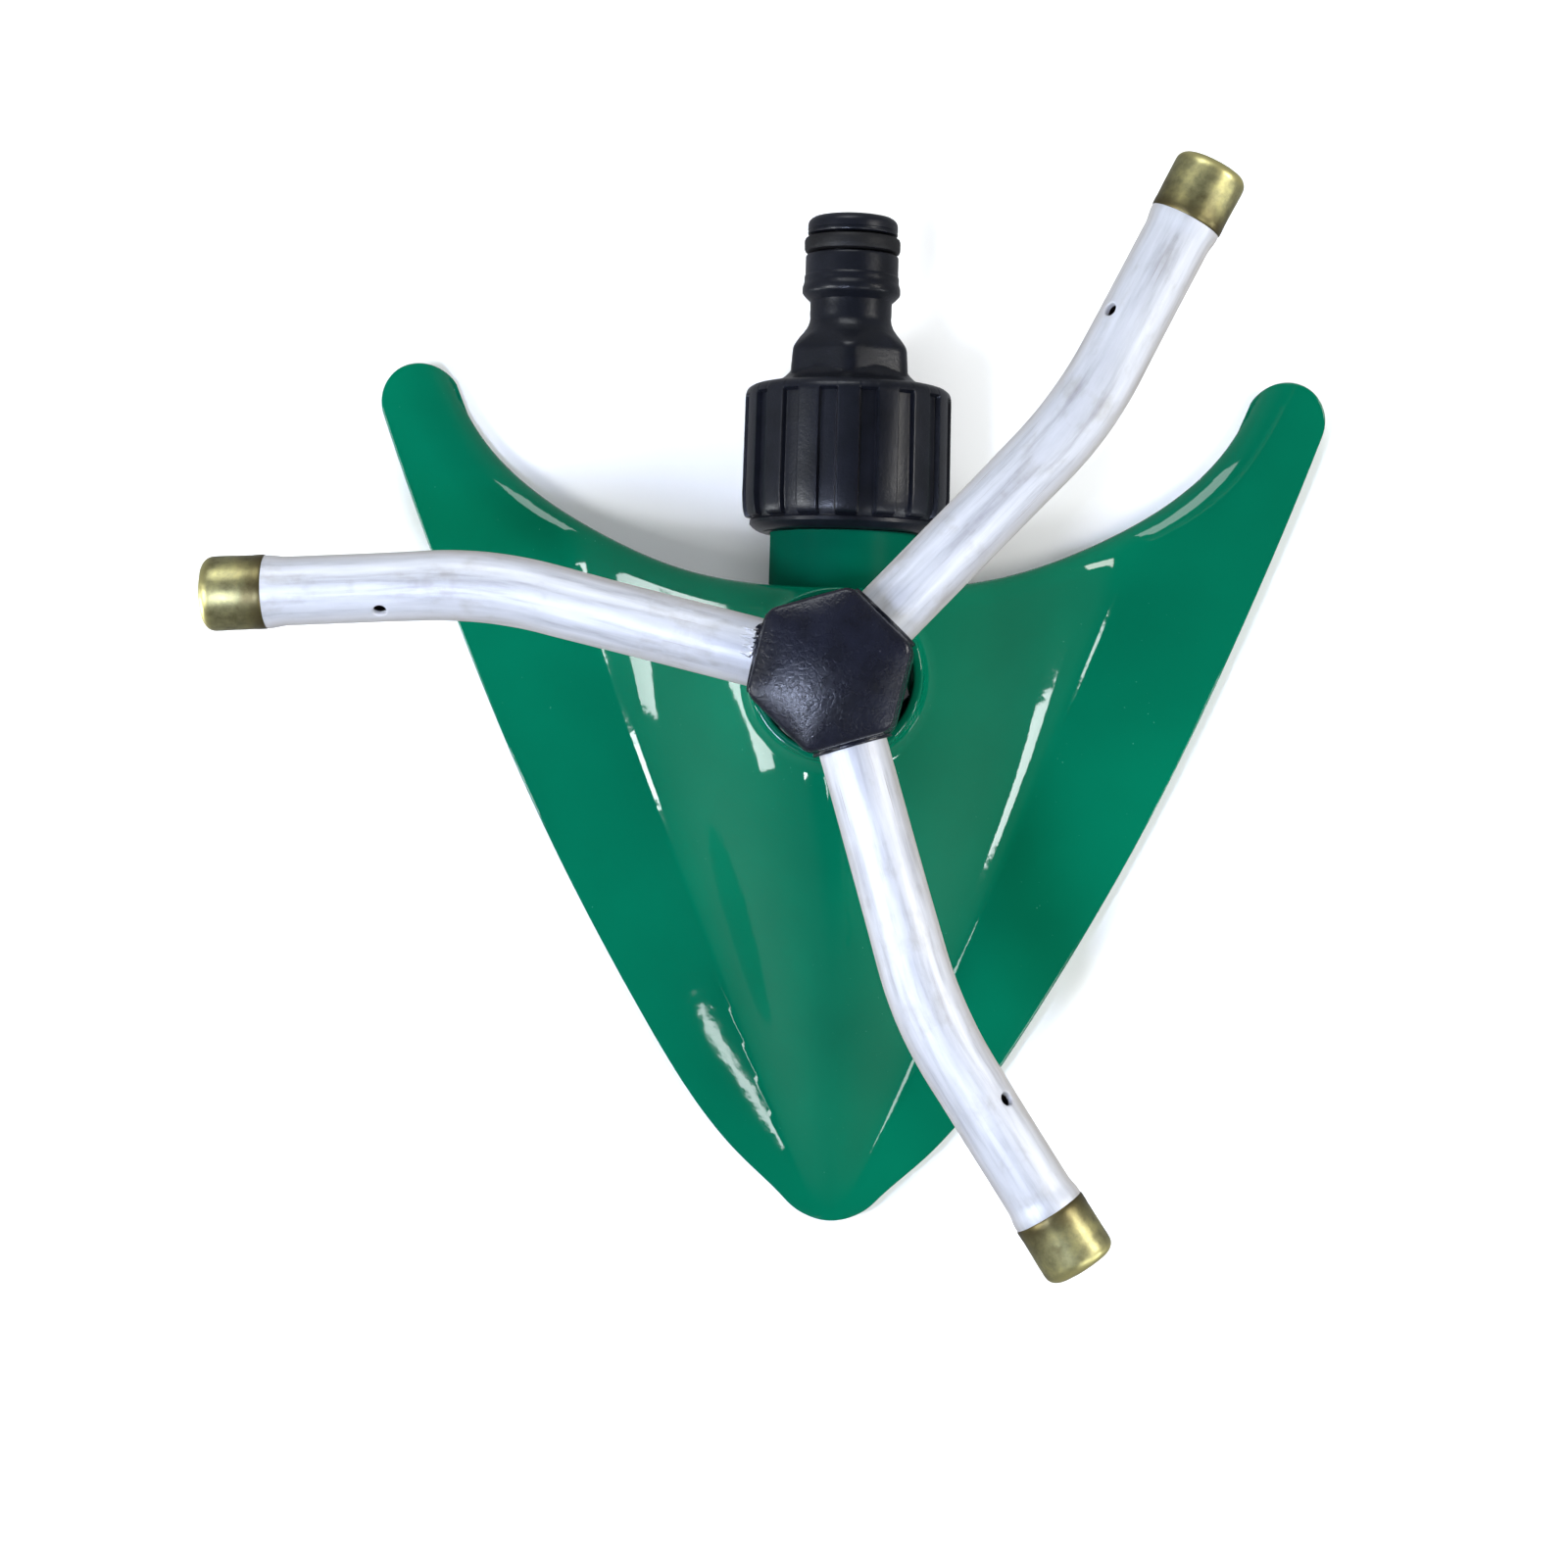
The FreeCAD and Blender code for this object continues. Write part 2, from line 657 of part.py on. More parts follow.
def make_hub_cap():
    body = new_body("hub_cap")
    bottom = size.hub_top + 0.05
    edge_height = size.cap_top - size.cap_crown
    corner = size.cap_flats / math.sqrt(3)
    dome = new_sketch(body, "cap_profile", "XZ_Plane")
    crown = size.cap_crown.number
    dome_radius = (corner.number ** 2 + crown ** 2) / (2 * crown)
    centre = Vector(0, size.cap_top.number - dome_radius, 0)
    half = math.asin(corner.number / dome_radius)
    dome.addGeometry(Part.ArcOfCircle(Part.Circle(centre, Vector(0, 0, 1), dome_radius),
                                      math.pi / 2 - half, math.pi / 2))
    plug = (size.cap_plug_radius, bottom)
    plug_end = bottom - size.cap_plug_depth
    corners = [(0, size.cap_top), (0, plug_end), (size.cap_plug_radius, plug_end), plug,
               (corner, bottom), (corner, edge_height)]
    points = [(as_size(x), as_size(y)) for x, y in corners]
    for start, end in zip(points, points[1:]):
        dome.addGeometry(Part.LineSegment(Vector(start[0].number, start[1].number, 0),
                                          Vector(end[0].number, end[1].number, 0)))
    line_count = len(points) - 1
    dome.addConstraint(Sketcher.Constraint("Coincident", 0, 2, 1, 1))
    for i in range(1, line_count):
        dome.addConstraint(Sketcher.Constraint("Coincident", i, 2, i + 1, 1))
    dome.addConstraint(Sketcher.Constraint("Coincident", line_count, 2, 0, 1))
    for i, point in enumerate(points[:-1], 1):
        pin_point(dome, i, 1, point)
    pin_point(dome, line_count, 2, points[-1])
    dome.addConstraint(Sketcher.Constraint("PointOnObject", 0, 3, -2))
    revolve(body, "cap_turned", dome)
    trim = new_sketch(body, "cap_trim_section", "XY_Plane", bottom)
    draw_outline(trim, hexagon_corners(size.cap_flats))
    draw_circle(trim, (0, 0), corner * 1.5)
    extrude(body, "cap_trim", trim, size.cap_top - bottom + 1, cut=True, reverse=True)
    body.Tip = body.Group[-1]
    middle = (bottom.number + edge_height.number) / 2
    round_edges(body, "cap_edge_round", size.cap_edge_round, lambda edge: (
        edge.CenterOfMass.z > middle and edge.BoundBox.ZLength < edge.Length * 0.9
        and math.hypot(edge.CenterOfMass.x, edge.CenterOfMass.y) > size.cap_flats.number * 0.4))
    return body


# ---------------------------------------------------------------- arms and end caps


def tip_placement(distance, heading):
    """Where a point on an arm's outer run lies, at a distance past the bend's corner."""
    outward = math.radians(heading)
    bent = math.radians(heading + size.bend_angle.number)
    corner = Vector(math.cos(outward), math.sin(outward), 0) * size.bend_distance.number
    point = corner + Vector(math.cos(bent), math.sin(bent), 0) * distance
    point.z = size.arm_height.number
    return point, heading + size.bend_angle.number


def tube_end_distance():
    return size.tip_distance - size.end_cap_floor - size.end_cap_water_gap


def draw_tube_path(sketch):
    """Straight run out of the hub, one bend to the left, and a straight run to the tip."""
    angle = math.radians(size.bend_angle.number)
    radius = size.bend_radius.number
    setback = radius * math.tan(angle / 2)
    corner = size.bend_distance.number
    straight_end = Vector(corner - setback, 0, 0)
    centre = Vector(corner - setback, radius, 0)
    bend_end = Vector(corner + setback * math.cos(angle), setback * math.sin(angle), 0)
    reach = tube_end_distance().number
    tip = Vector(corner + reach * math.cos(angle), reach * math.sin(angle), 0)
    sketch.addGeometry(Part.LineSegment(Vector(size.tube_start.number, 0, 0), straight_end))
    sketch.addGeometry(Part.ArcOfCircle(Part.Circle(centre, Vector(0, 0, 1), radius),
                                        -math.pi / 2, -math.pi / 2 + angle))
    sketch.addGeometry(Part.LineSegment(bend_end, tip))
    pin_point(sketch, 0, 1, (size.tube_start, as_size(0)))
    sketch.addConstraint(Sketcher.Constraint("PointOnObject", 0, 2, -1))
    sketch.addConstraint(Sketcher.Constraint("Tangent", 0, 2, 1, 1))
    sketch.addConstraint(Sketcher.Constraint("Tangent", 1, 2, 2, 1))
    formulas = [
        ("Radius", (1,), size.bend_radius),
        ("DistanceX", (-1, 1, 0, 2), Size(corner - setback,
         "(Dimensions.bend_distance - Dimensions.bend_radius * tan(Dimensions.bend_angle * 0.5 deg))")),
        ("Distance", (2,), Size(reach - setback, f"({tube_end_distance().formula}"
         " - Dimensions.bend_radius * tan(Dimensions.bend_angle * 0.5 deg))")),
    ]
    for kind, where, value in formulas:
        index = sketch.addConstraint(Sketcher.Constraint(kind, *where, value.number))
        sketch.setExpression(f"Constraints[{index}]", value.formula)
    index = sketch.addConstraint(Sketcher.Constraint("Angle", 0, 1, 2, 1, angle))
    sketch.setExpression(f"Constraints[{index}]", "Dimensions.bend_angle * 1 deg")


def sketch_on_outer_run(body, name, tilt=0.0):
    """A sketch whose first axis is the arm's outer run, tipped about it by tilt."""
    sketch = new_sketch(body, name, "XY_Plane")
    swing = Rotation(Vector(0, 0, 1), size.bend_angle.number)
    tip_up = Rotation(Vector(1, 0, 0), tilt)
    sketch.AttachmentOffset = Placement(Vector(size.bend_distance.number, 0, 0), swing.multiply(tip_up))
    return sketch


def make_arm_tube(number, heading):
    label = f"arm_tube_{number}"
    body = new_body(label)
    path = new_sketch(body, label + "_path", "XY_Plane")
    draw_tube_path(path)
    section = new_sketch(body, label + "_section", "YZ_Plane", size.tube_start)
    draw_circle(section, (0, 0), size.tube_radius)
    draw_circle(section, (0, 0), size.tube_radius - size.tube_wall)
    pipe = body.newObject("PartDesign::AdditivePipe", label + "_run")
    pipe.Profile = section
    pipe.Spine = (path, ["Edge1", "Edge2", "Edge3"])
    open_end = size.tip_distance - size.end_cap_length - size.face_gap
    inside = size.tube_radius - size.tube_wall / 2
    flare = sketch_on_outer_run(body, label + "_flare_profile")
    draw_outline(flare, [
        (open_end - size.flare_length, inside), (open_end, inside), (open_end, size.flare_radius),
        (open_end - 0.5, size.flare_radius), (open_end - size.flare_length, size.tube_radius)])
    revolve(body, label + "_flare", flare, axis="H_Axis")
    jet = sketch_on_outer_run(body, label + "_jet_section", -size.jet_tilt.number)
    draw_circle(jet, (size.jet_distance, 0), size.jet_radius)
    extrude(body, label + "_jet", jet, size.tube_radius + 1, cut=True, reverse=True)
    body.Placement = Placement(Vector(0, 0, size.arm_height.number), Rotation(Vector(0, 0, 1), heading))
    return body


def make_end_cap(number, heading):
    label = f"end_cap_{number}"
    body = new_body(label)
    length = size.end_cap_length
    floor = length - size.end_cap_floor
    turn(body, label + "_shape", [
        (size.end_cap_inner_radius, 0), (size.end_cap_radius, 0), (size.end_cap_radius, length),
        (0, length), (0, floor), (size.end_cap_inner_radius, floor)])
    round_edges(body, label + "_outer_round", size.end_cap_round, lambda edge: is_circle_at(
        edge, size.end_cap_radius.number, length.number))
    round_edges(body, label + "_inner_round", size.end_cap_inner_round, lambda edge: is_circle_at(
        edge, size.end_cap_inner_radius.number, floor.number))
    jet = new_sketch(body, label + "_jet_section", "XY_Plane", length + 1)
    draw_circle(jet, (0, size.end_cap_jet_offset), size.jet_radius)
    extrude(body, label + "_jet", jet, size.end_cap_floor + 2, cut=True)
    place, direction = tip_placement((size.tip_distance - length).number, heading)
    lay_down = Rotation(Vector(0, 1, 0), 90)
    stand_hole_up = Rotation(Vector(0, 0, 1), 90)
    body.Placement = Placement(place, Rotation(Vector(0, 0, 1), direction).multiply(
        lay_down).multiply(stand_hole_up))
    return body


# ---------------------------------------------------------------- hose connector


def lay_along_pipe(body):
    """Turn a body whose axis is upright so that it lies along the pipe's axis."""
    screwed = Rotation(Vector(0, 0, 1), size.connector_turn.number)
    lay_down = Rotation(Vector(1, 0, 0), -90)
    body.Placement = Placement(Vector(0, 0, size.pipe_height.number), lay_down.multiply(screwed))


def make_hose_connector():
    body = new_body("hose_connector")
    hex_radius = size.hexagon_flats / 2
    outline = [
        (size.skirt_bore_radius, size.skirt_start), (size.skirt_radius, size.skirt_start),
        (size.skirt_radius, size.shoulder_start), (size.shoulder_radius, size.shoulder_end),
        (hex_radius + 3.6, size.shoulder_end + 0.9), (hex_radius + 1.6, size.shoulder_end + 1.7),
        (hex_radius, size.hexagon_start), (hex_radius, size.hexagon_end),
        (hex_radius - 1.2, size.hexagon_end + 1.9), (size.neck_radius + 0.4, size.neck_start - 1.8),
        (size.neck_radius, size.neck_start), (size.neck_radius, size.neck_end),
        (size.collar_radius, size.collar_station - 0.5), (size.collar_radius, size.collar_station + 0.5),
        (size.barrel_radius + 0.1, size.barrel_start), (size.barrel_radius + 0.1, size.barrel_step),
        (size.barrel_radius, size.barrel_step + 0.1), (size.barrel_radius, size.groove_start),
        (size.groove_radius, size.groove_start), (size.groove_radius, size.groove_end),
        (size.spigot_nose_radius, size.groove_end), (size.spigot_nose_radius, size.nose_end),
        (size.spigot_bore_radius, size.nose_end), (size.spigot_bore_radius, size.hexagon_start),
        (size.pipe_bore_radius, size.washer_seat + 1.5), (size.pipe_bore_radius, size.washer_seat),
        (size.skirt_bore_radius, size.washer_seat)]
    turn(body, "connector_shape", outline)
    hexagon = new_sketch(body, "hexagon_section", "XY_Plane", size.hexagon_start - 2)
    draw_outline(hexagon, hexagon_corners(size.hexagon_flats))
    draw_circle(hexagon, (0, 0), size.pipe_bore_radius * 0.8)
    extrude(body, "hexagon", hexagon, size.hexagon_end - size.hexagon_start + 3)
    corner_radius = size.hexagon_flats / math.sqrt(3)
    turn(body, "hexagon_corner_cut", [
        (hex_radius - 0.6, size.hexagon_end + 3), (corner_radius + 2, size.hexagon_end + 3),
        (corner_radius + 2, size.hexagon_end - 1.4), (corner_radius - 0.3, size.hexagon_end - 1.4)], cut=True)
    round_edges(body, "skirt_round", size.skirt_round, lambda edge: is_circle_at(
        edge, size.skirt_radius.number, size.skirt_start.number))
    rib = new_sketch(body, "rib_section", "XY_Plane", size.grip_rib_start)
    half = size.grip_rib_width / 2
    draw_outline(rib, [(size.skirt_radius - 1, -half), (size.grip_rib_radius, -half),
                       (size.grip_rib_radius, half), (size.skirt_radius - 1, half)])
    grip = extrude(body, "grip_rib", rib, size.grip_rib_end - size.grip_rib_start)
    repeat_round(body, "grip_ribs", [grip], DIMENSIONS["grip_rib_count"])
    lay_along_pipe(body)
    return body


# ---------------------------------------------------------------- assembly


def make_parts():
    lower_washer = size.spindle_bottom + size.spindle_flange_height + size.face_gap
    seal_bottom = size.socket_top + 0.05
    seal_height = size.nut_head_bottom - size.socket_top - 0.1
    upper_washer = size.nut_head_top + size.face_gap
    upper_height = size.hub_bottom - size.nut_head_top - size.face_gap * 2
    ring_middle = size.spindle_radius + size.o_ring_section_radius + 0.03
    ring_height = size.hub_bottom + size.o_ring_section_radius + 0.07
    parts = [
        make_base_shell(),
        make_inlet_elbow(),
        make_elbow_screws(),
        make_bearing_nut(),
        make_flat_ring("bearing_seal", size.seal_inner_radius, size.seal_outer_radius,
                       seal_bottom, seal_height),
        make_flat_ring("lower_thrust_washer", size.washer_inner_radius, size.washer_outer_radius,
                       lower_washer, size.washer_thickness),
        make_flat_ring("upper_thrust_washer", size.washer_inner_radius, size.washer_outer_radius,
                       upper_washer, upper_height),
        make_spindle(),
        make_o_ring("spindle_o_ring", ring_middle, size.o_ring_section_radius, ring_height),
    ]
    hub_body = make_hub_body()
    hub_cap = make_hub_cap()
    for body in (hub_body, hub_cap):
        body.Placement.Rotation = Rotation(Vector(0, 0, 1), size.arm_heading.number)
    parts += [hub_body, hub_cap]
    for number in range(1, ARM_COUNT + 1):
        heading = size.arm_heading.number + 360 / ARM_COUNT * (number - 1)
        parts.append(make_arm_tube(number, heading))
        parts.append(make_end_cap(number, heading))
    ring_station = (size.groove_start + size.groove_end) / 2
    spigot_ring = make_o_ring("spigot_o_ring", size.groove_radius + size.spigot_ring_section + 0.03,
                              size.spigot_ring_section, ring_station)
    washer = make_flat_ring("connector_washer", size.connector_washer_inner,
                            size.skirt_bore_radius - 0.1, size.pipe_end_y + 0.05,
                            size.connector_washer_thickness)
    for body in (spigot_ring, washer):
        lay_along_pipe(body)
    parts += [make_hose_connector(), spigot_ring, washer]
    return parts


def check_document():
    for item in doc.Objects:
        bad = {"Invalid", "Error"} & set(item.State)
        if bad:
            raise RuntimeError(f"{item.Label} is {bad}")


def write_parts(parts):
    os.makedirs("parts", exist_ok=True)
    for part in parts:
        shape = part.Shape
        if shape.isNull() or not shape.isValid():
            raise RuntimeError(f"{part.Label} has no valid shape")
        shape.exportStep(f"parts/{part.Label}.step")
        print(f"{part.Label}: {len(shape.Solids)} solid(s), {shape.Volume:.1f} mm3")


all_parts = make_parts()
doc.recompute()
check_document()
write_parts(all_parts)
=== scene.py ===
import math

import bpy
import numpy as np
from mathutils import Matrix, Vector
from mathutils.geometry import delaunay_2d_cdt


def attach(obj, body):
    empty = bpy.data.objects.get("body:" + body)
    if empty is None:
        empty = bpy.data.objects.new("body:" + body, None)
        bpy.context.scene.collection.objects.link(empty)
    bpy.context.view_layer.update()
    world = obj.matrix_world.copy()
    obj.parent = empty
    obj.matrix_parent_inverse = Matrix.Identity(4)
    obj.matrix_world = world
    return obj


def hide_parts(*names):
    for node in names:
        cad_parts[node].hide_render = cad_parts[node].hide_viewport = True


# Looks of a three-arm rotary lawn sprinkler. Shapes are worked out in millimetres
# in the part's own frame: +Z up, +Y towards the hose, origin on the rotor's axis.

MM = 0.001
SHARP_ANGLE = 38
PIPE_HEIGHT = 20.0

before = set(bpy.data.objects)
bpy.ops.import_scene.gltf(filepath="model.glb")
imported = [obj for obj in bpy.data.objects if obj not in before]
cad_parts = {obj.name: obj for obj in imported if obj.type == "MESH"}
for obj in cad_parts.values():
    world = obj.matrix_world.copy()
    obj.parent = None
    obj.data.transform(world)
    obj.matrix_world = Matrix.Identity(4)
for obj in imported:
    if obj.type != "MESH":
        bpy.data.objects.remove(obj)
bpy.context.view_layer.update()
scene = bpy.context.scene

# ---------------------------------------------------------------- mesh helpers


def add_mesh(name, points, faces, material, body, replaces=(), layers=None, normals=None):
    """A smooth piece from points in millimetres, riding on a CAD body."""
    mesh = bpy.data.meshes.new(name)
    places = np.asarray(points, float) * MM
    mesh.from_pydata([tuple(p) for p in places], [], [tuple(f) for f in faces])
    mesh.validate()
    mesh.materials.append(material)
    for layer, values in (layers or {}).items():
        attribute = mesh.attributes.new(layer, "FLOAT", "POINT")
        attribute.data.foreach_set("value", np.asarray(values, np.float32))
    mesh.polygons.foreach_set("use_smooth", [True] * len(mesh.polygons))
    if normals is None:
        mesh.set_sharp_from_angle(angle=math.radians(SHARP_ANGLE))
    else:
        mesh.normals_split_custom_set_from_vertices([tuple(n) for n in normals])
    mesh.update()
    piece = bpy.data.objects.new(name, mesh)
    scene.collection.objects.link(piece)
    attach(piece, body)
    if replaces:
        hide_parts(*replaces)
    return piece


def bridge(first, second):
    """Quads between two closed loops of point numbers."""
    count = len(first)
    return [(first[k], first[(k + 1) % count], second[(k + 1) % count], second[k])
            for k in range(count)]


def grid_faces(rings, count):
    """Quads between closed rings of count points each."""
    rows = [range(i * count, (i + 1) * count) for i in range(rings)]
    return [face for pair in zip(rows, rows[1:]) for face in bridge(*pair)]


def lathe(profile, angles, radius_at=None):
    """Points and faces of a shape turned about Z; profile is (radius, height) pairs."""
    points = []
    for radius, height in profile:
        for angle in angles:
            reach = radius if radius_at is None else radius_at(radius, height, angle)
            points.append((reach * math.cos(angle), reach * math.sin(angle), height))
    return points, grid_faces(len(profile), len(angles))


def even_angles(count):
    return [2 * math.pi * i / count for i in range(count)]


def rounded(profile, radius, steps=4):
    """The profile with each inner corner replaced by a small arc where there's room."""
    result = [profile[0]]
    for before, corner, after in zip(profile, profile[1:], profile[2:]):
        before, corner, after = (np.array(p, float) for p in (before, corner, after))
        to_before, to_after = before - corner, after - corner
        length_before, length_after = np.linalg.norm(to_before), np.linalg.norm(to_after)
        cut = min(radius, length_before * 0.45, length_after * 0.45)
        start = corner + to_before / length_before * cut
        end = corner + to_after / length_after * cut
        for step in range(steps + 1):
            t = step / steps
            point = start * (1 - t) ** 2 + corner * 2 * t * (1 - t) + end * t ** 2
            result.append(tuple(point))
    result.append(profile[-1])
    return result


def smoothstep(low, high, value):
    t = np.clip((value - low) / (high - low), 0, 1)
    return t * t * (3 - 2 * t)


# ---------------------------------------------------------------- materials


def new_material(name):
    material = bpy.data.materials.new(name)
    material.use_nodes = True
    return material, material.node_tree, material.node_tree.nodes["Principled BSDF"]


def feed(tree, socket, value):
    """Gives a socket a constant or another node's output."""
    if isinstance(value, bpy.types.NodeSocket):
        tree.links.new(value, socket)
    else:
        socket.default_value = value


def feed_all(tree, shader, values):
    for name, value in values.items():
        feed(tree, shader.inputs[name], value)


def node(tree, kind, settings=None, **inputs):
    """A shader node; inputs take numbers, colours or other nodes' outputs."""
    made = tree.nodes.new(kind)
    for name, value in (settings or {}).items():
        setattr(made, name, value)
    feed_all(tree, made, inputs)
    return made


def stretched(tree, where, scale):
    """A texture position with each axis scaled."""
    return node(tree, "ShaderNodeMapping", Vector=where, Scale=scale).outputs["Vector"]


def place(tree, stretch=(1, 1, 1)):
    """Object position stretched for a texture."""
    return stretched(tree, node(tree, "ShaderNodeTexCoord").outputs["Object"], stretch)


def noise(tree, where, scale, detail=4.0, roughness=0.5):
    """A 0 to 1 noise value; for object positions the scale is in cells a metre."""
    made = node(tree, "ShaderNodeTexNoise", Vector=where, Scale=scale, Detail=detail,
                Roughness=roughness)
    return made.outputs["Fac"]


def ramp(tree, factor, stops):
    """A colour ramp; stops are (position, colour or grey)."""
    made = node(tree, "ShaderNodeValToRGB", Fac=factor)
    elements = made.color_ramp.elements
    while len(elements) < len(stops):
        elements.new(0.5)
    for element, (position, colour) in zip(elements, stops):
        element.position = position
        element.color = (*colour, 1) if isinstance(colour, tuple) else (colour, colour, colour, 1)
    return made.outputs["Color"]


def mix_colour(tree, factor, first, second, blend="MIX"):
    """A mix of two colours, each a node's output or a red, green and blue tuple."""
    made = node(tree, "ShaderNodeMix", {"data_type": "RGBA", "blend_type": blend})
    for index, value in ((0, factor), (6, first), (7, second)):
        feed(tree, made.inputs[index], (*value, 1) if isinstance(value, tuple) else value)
    return made.outputs[2]


def level(tree, factor, low, high, first=0.0, last=1.0):
    """Maps a value between first and last onto low to high."""
    made = node(tree, "ShaderNodeMapRange", Value=factor)
    feed_all(tree, made, {"From Min": first, "From Max": last, "To Min": low, "To Max": high})
    return made.outputs["Result"]


def bump(tree, height, strength, distance, base=None):
    made = node(tree, "ShaderNodeBump", Height=height, Strength=strength, Distance=distance)
    if base is not None:
        tree.links.new(base, made.inputs["Normal"])
    return made.outputs["Normal"]


def srgb(red, green, blue):
    """Linear colour from display values of 0 to 255."""
    linear = []
    for value in (red, green, blue):
        value /= 255
        linear.append(value / 12.92 if value <= 0.04045 else ((value + 0.055) / 1.055) ** 2.4)
    return tuple(linear)


def paint(name, deep, light, gloss):
    """Enamel with slight colour drift, orange peel and a little dust; gloss 1 has a full coat."""
    material, tree, shader = new_material(name)
    here = place(tree)
    drift = ramp(tree, noise(tree, here, 22, 3), [(0.3, deep), (0.7, light)])
    specks = ramp(tree, noise(tree, here, 1900, 2, 0.4), [(0.0, 0.0), (0.76, 0.0), (0.80, 1.0)])
    patches = ramp(tree, noise(tree, here, 60, 4), [(0.45, 0.0), (0.7, 0.5)])
    dust = mix_colour(tree, patches, (0, 0, 0), specks)
    shine, dull = 0.12 * gloss, 0.4 * (1 - gloss)
    peel = bump(tree, noise(tree, here, 420, 2, 0.4), 0.05, 0.0003)
    waves = bump(tree, noise(tree, here, 60, 2, 0.4), 0.04, 0.0010, peel)
    feed_all(tree, shader, {
        "Base Color": mix_colour(tree, dust, drift, srgb(120, 190, 165)),
        "Roughness": level(tree, noise(tree, here, 140, 5), 0.30 - shine, 0.42 - shine),
        "Specular IOR Level": 0.0,
        "Coat Weight": 0.8 * gloss ** 2,
        "Coat IOR": 1.36,
        "Coat Roughness": level(tree, noise(tree, here, 90, 4), 0.02 + dull, 0.07 + dull),
        "Normal": waves,
        "Coat Normal": waves})
    return material


def attribute(tree, name):
    return node(tree, "ShaderNodeAttribute", {"attribute_name": name}).outputs["Fac"]


def tube_metal():
    """Drawn aluminium: fine lengthways lines, dull patches, nicks and handling marks, with painted
    shade on the sides and underside.
    """
    material, tree, shader = new_material("aluminium_tube")
    lengthways = node(tree, "ShaderNodeCombineXYZ", X=attribute(tree, "along"),
                      Y=attribute(tree, "around"), Z=attribute(tree, "seed")).outputs[0]
    lines = noise(tree, stretched(tree, lengthways, (0.035, 2.6, 1.0)), 1.0, 6, 0.65)
    bands = noise(tree, stretched(tree, lengthways, (0.05, 0.55, 1.0)), 1.0, 5, 0.6)
    patches = noise(tree, stretched(tree, lengthways, (0.14, 0.2, 1.0)), 1.0, 5, 0.6)
    banded = ramp(tree, bands, [(0.3, srgb(156, 157, 162)), (0.48, srgb(183, 185, 190)),
                                (0.7, srgb(198, 200, 205))])
    stained = ramp(tree, patches, [(0.30, srgb(206, 200, 192)), (0.46, srgb(240, 240, 242)),
                                   (1.0, srgb(250, 251, 253))])
    colour = mix_colour(tree, 0.6, banded, stained, "MULTIPLY")
    scratch = ramp(tree, lines, [(0.0, 0.0), (0.27, 0.0), (0.36, 1.0)])
    colour = mix_colour(tree, scratch, srgb(140, 132, 128), colour)
    # Painted shade: the tube turns greyer and browner towards its sides and underside, by angle
    # from the top.
    side = level(tree, attribute(tree, "around"), 0.0, 0.8, 4.5, 9.5)
    here = place(tree)
    dents = bump(tree, noise(tree, here, 120, 3, 0.5), 0.35, 0.0006)
    grain = bump(tree, lines, 0.35, 0.00012, dents)
    feed_all(tree, shader, {
        "Base Color": mix_colour(tree, side, colour, srgb(168, 158, 146)),
        "Metallic": 0.3,
        "Roughness": level(tree, patches, 0.42, 0.58),
        "Anisotropic": 0.2,
        "Normal": bump(tree, noise(tree, here, 1500, 3, 0.6), 0.12, 0.0001, grain)})
    return material


def brass_metal(name, bright, dull, dark):
    """Metal with painted shade, dark towards the open end, and a painted highlight, bright on the
    rolled far edge.
    """
    material, tree, shader = new_material(name)
    here = place(tree)
    clouds = noise(tree, here, 260, 6, 0.65)
    colour = ramp(tree, clouds, [(0.22, dark), (0.5, dull), (0.84, bright)])
    # Painted shade: the colour darkens towards the cap's open end, where it meets the tube.
    open_end_shade = ramp(tree, attribute(tree, "open_end_shade"), [(0.0, 0.0), (0.35, 0.10), (1.0, 0.9)])
    colour = mix_colour(tree, open_end_shade, colour, dark)
    # Painted highlight: the colour turns bright on the cap's rolled far edge.
    edge_highlight = ramp(tree, attribute(tree, "edge_highlight"), [(0.0, 0.0), (1.0, 0.75)])
    coarse = bump(tree, noise(tree, here, 170, 3), 0.16, 0.0005)
    feed_all(tree, shader, {
        "Base Color": mix_colour(tree, edge_highlight, colour, bright),
        "Metallic": 0.95,
        "Roughness": level(tree, noise(tree, here, 420, 4), 0.34, 0.50),
        "Normal": bump(tree, noise(tree, here, 1800, 3, 0.6), 0.2, 0.0001, coarse)})
    return material


def plastic(name, base, worn, grain_scale, grain_strength, rough_low, rough_high):
    """Moulded plastic: grain, handling shine and faint scuffs."""
    material, tree, shader = new_material(name)
    here = place(tree)
    colour = ramp(tree, noise(tree, here, 130, 6, 0.6), [(0.35, base), (0.75, worn)])
    scuffs = ramp(tree, noise(tree, place(tree, (1, 6, 1)), 260, 6, 0.7),
                  [(0.0, 0.0), (0.70, 0.0), (0.78, 0.5)])
    scuffed = tuple(min(1.0, 3.5 * channel) for channel in worn)
    grain = bump(tree, noise(tree, here, grain_scale, 3, 0.6), grain_strength, 0.0003)
    feed_all(tree, shader, {
        "Base Color": mix_colour(tree, scuffs, colour, scuffed),
        "Roughness": level(tree, noise(tree, here, 210, 4), rough_low, rough_high),
        "Specular IOR Level": 0.22,
        "Normal": bump(tree, noise(tree, here, 90, 2), 0.12, 0.0006, grain)})
    return material


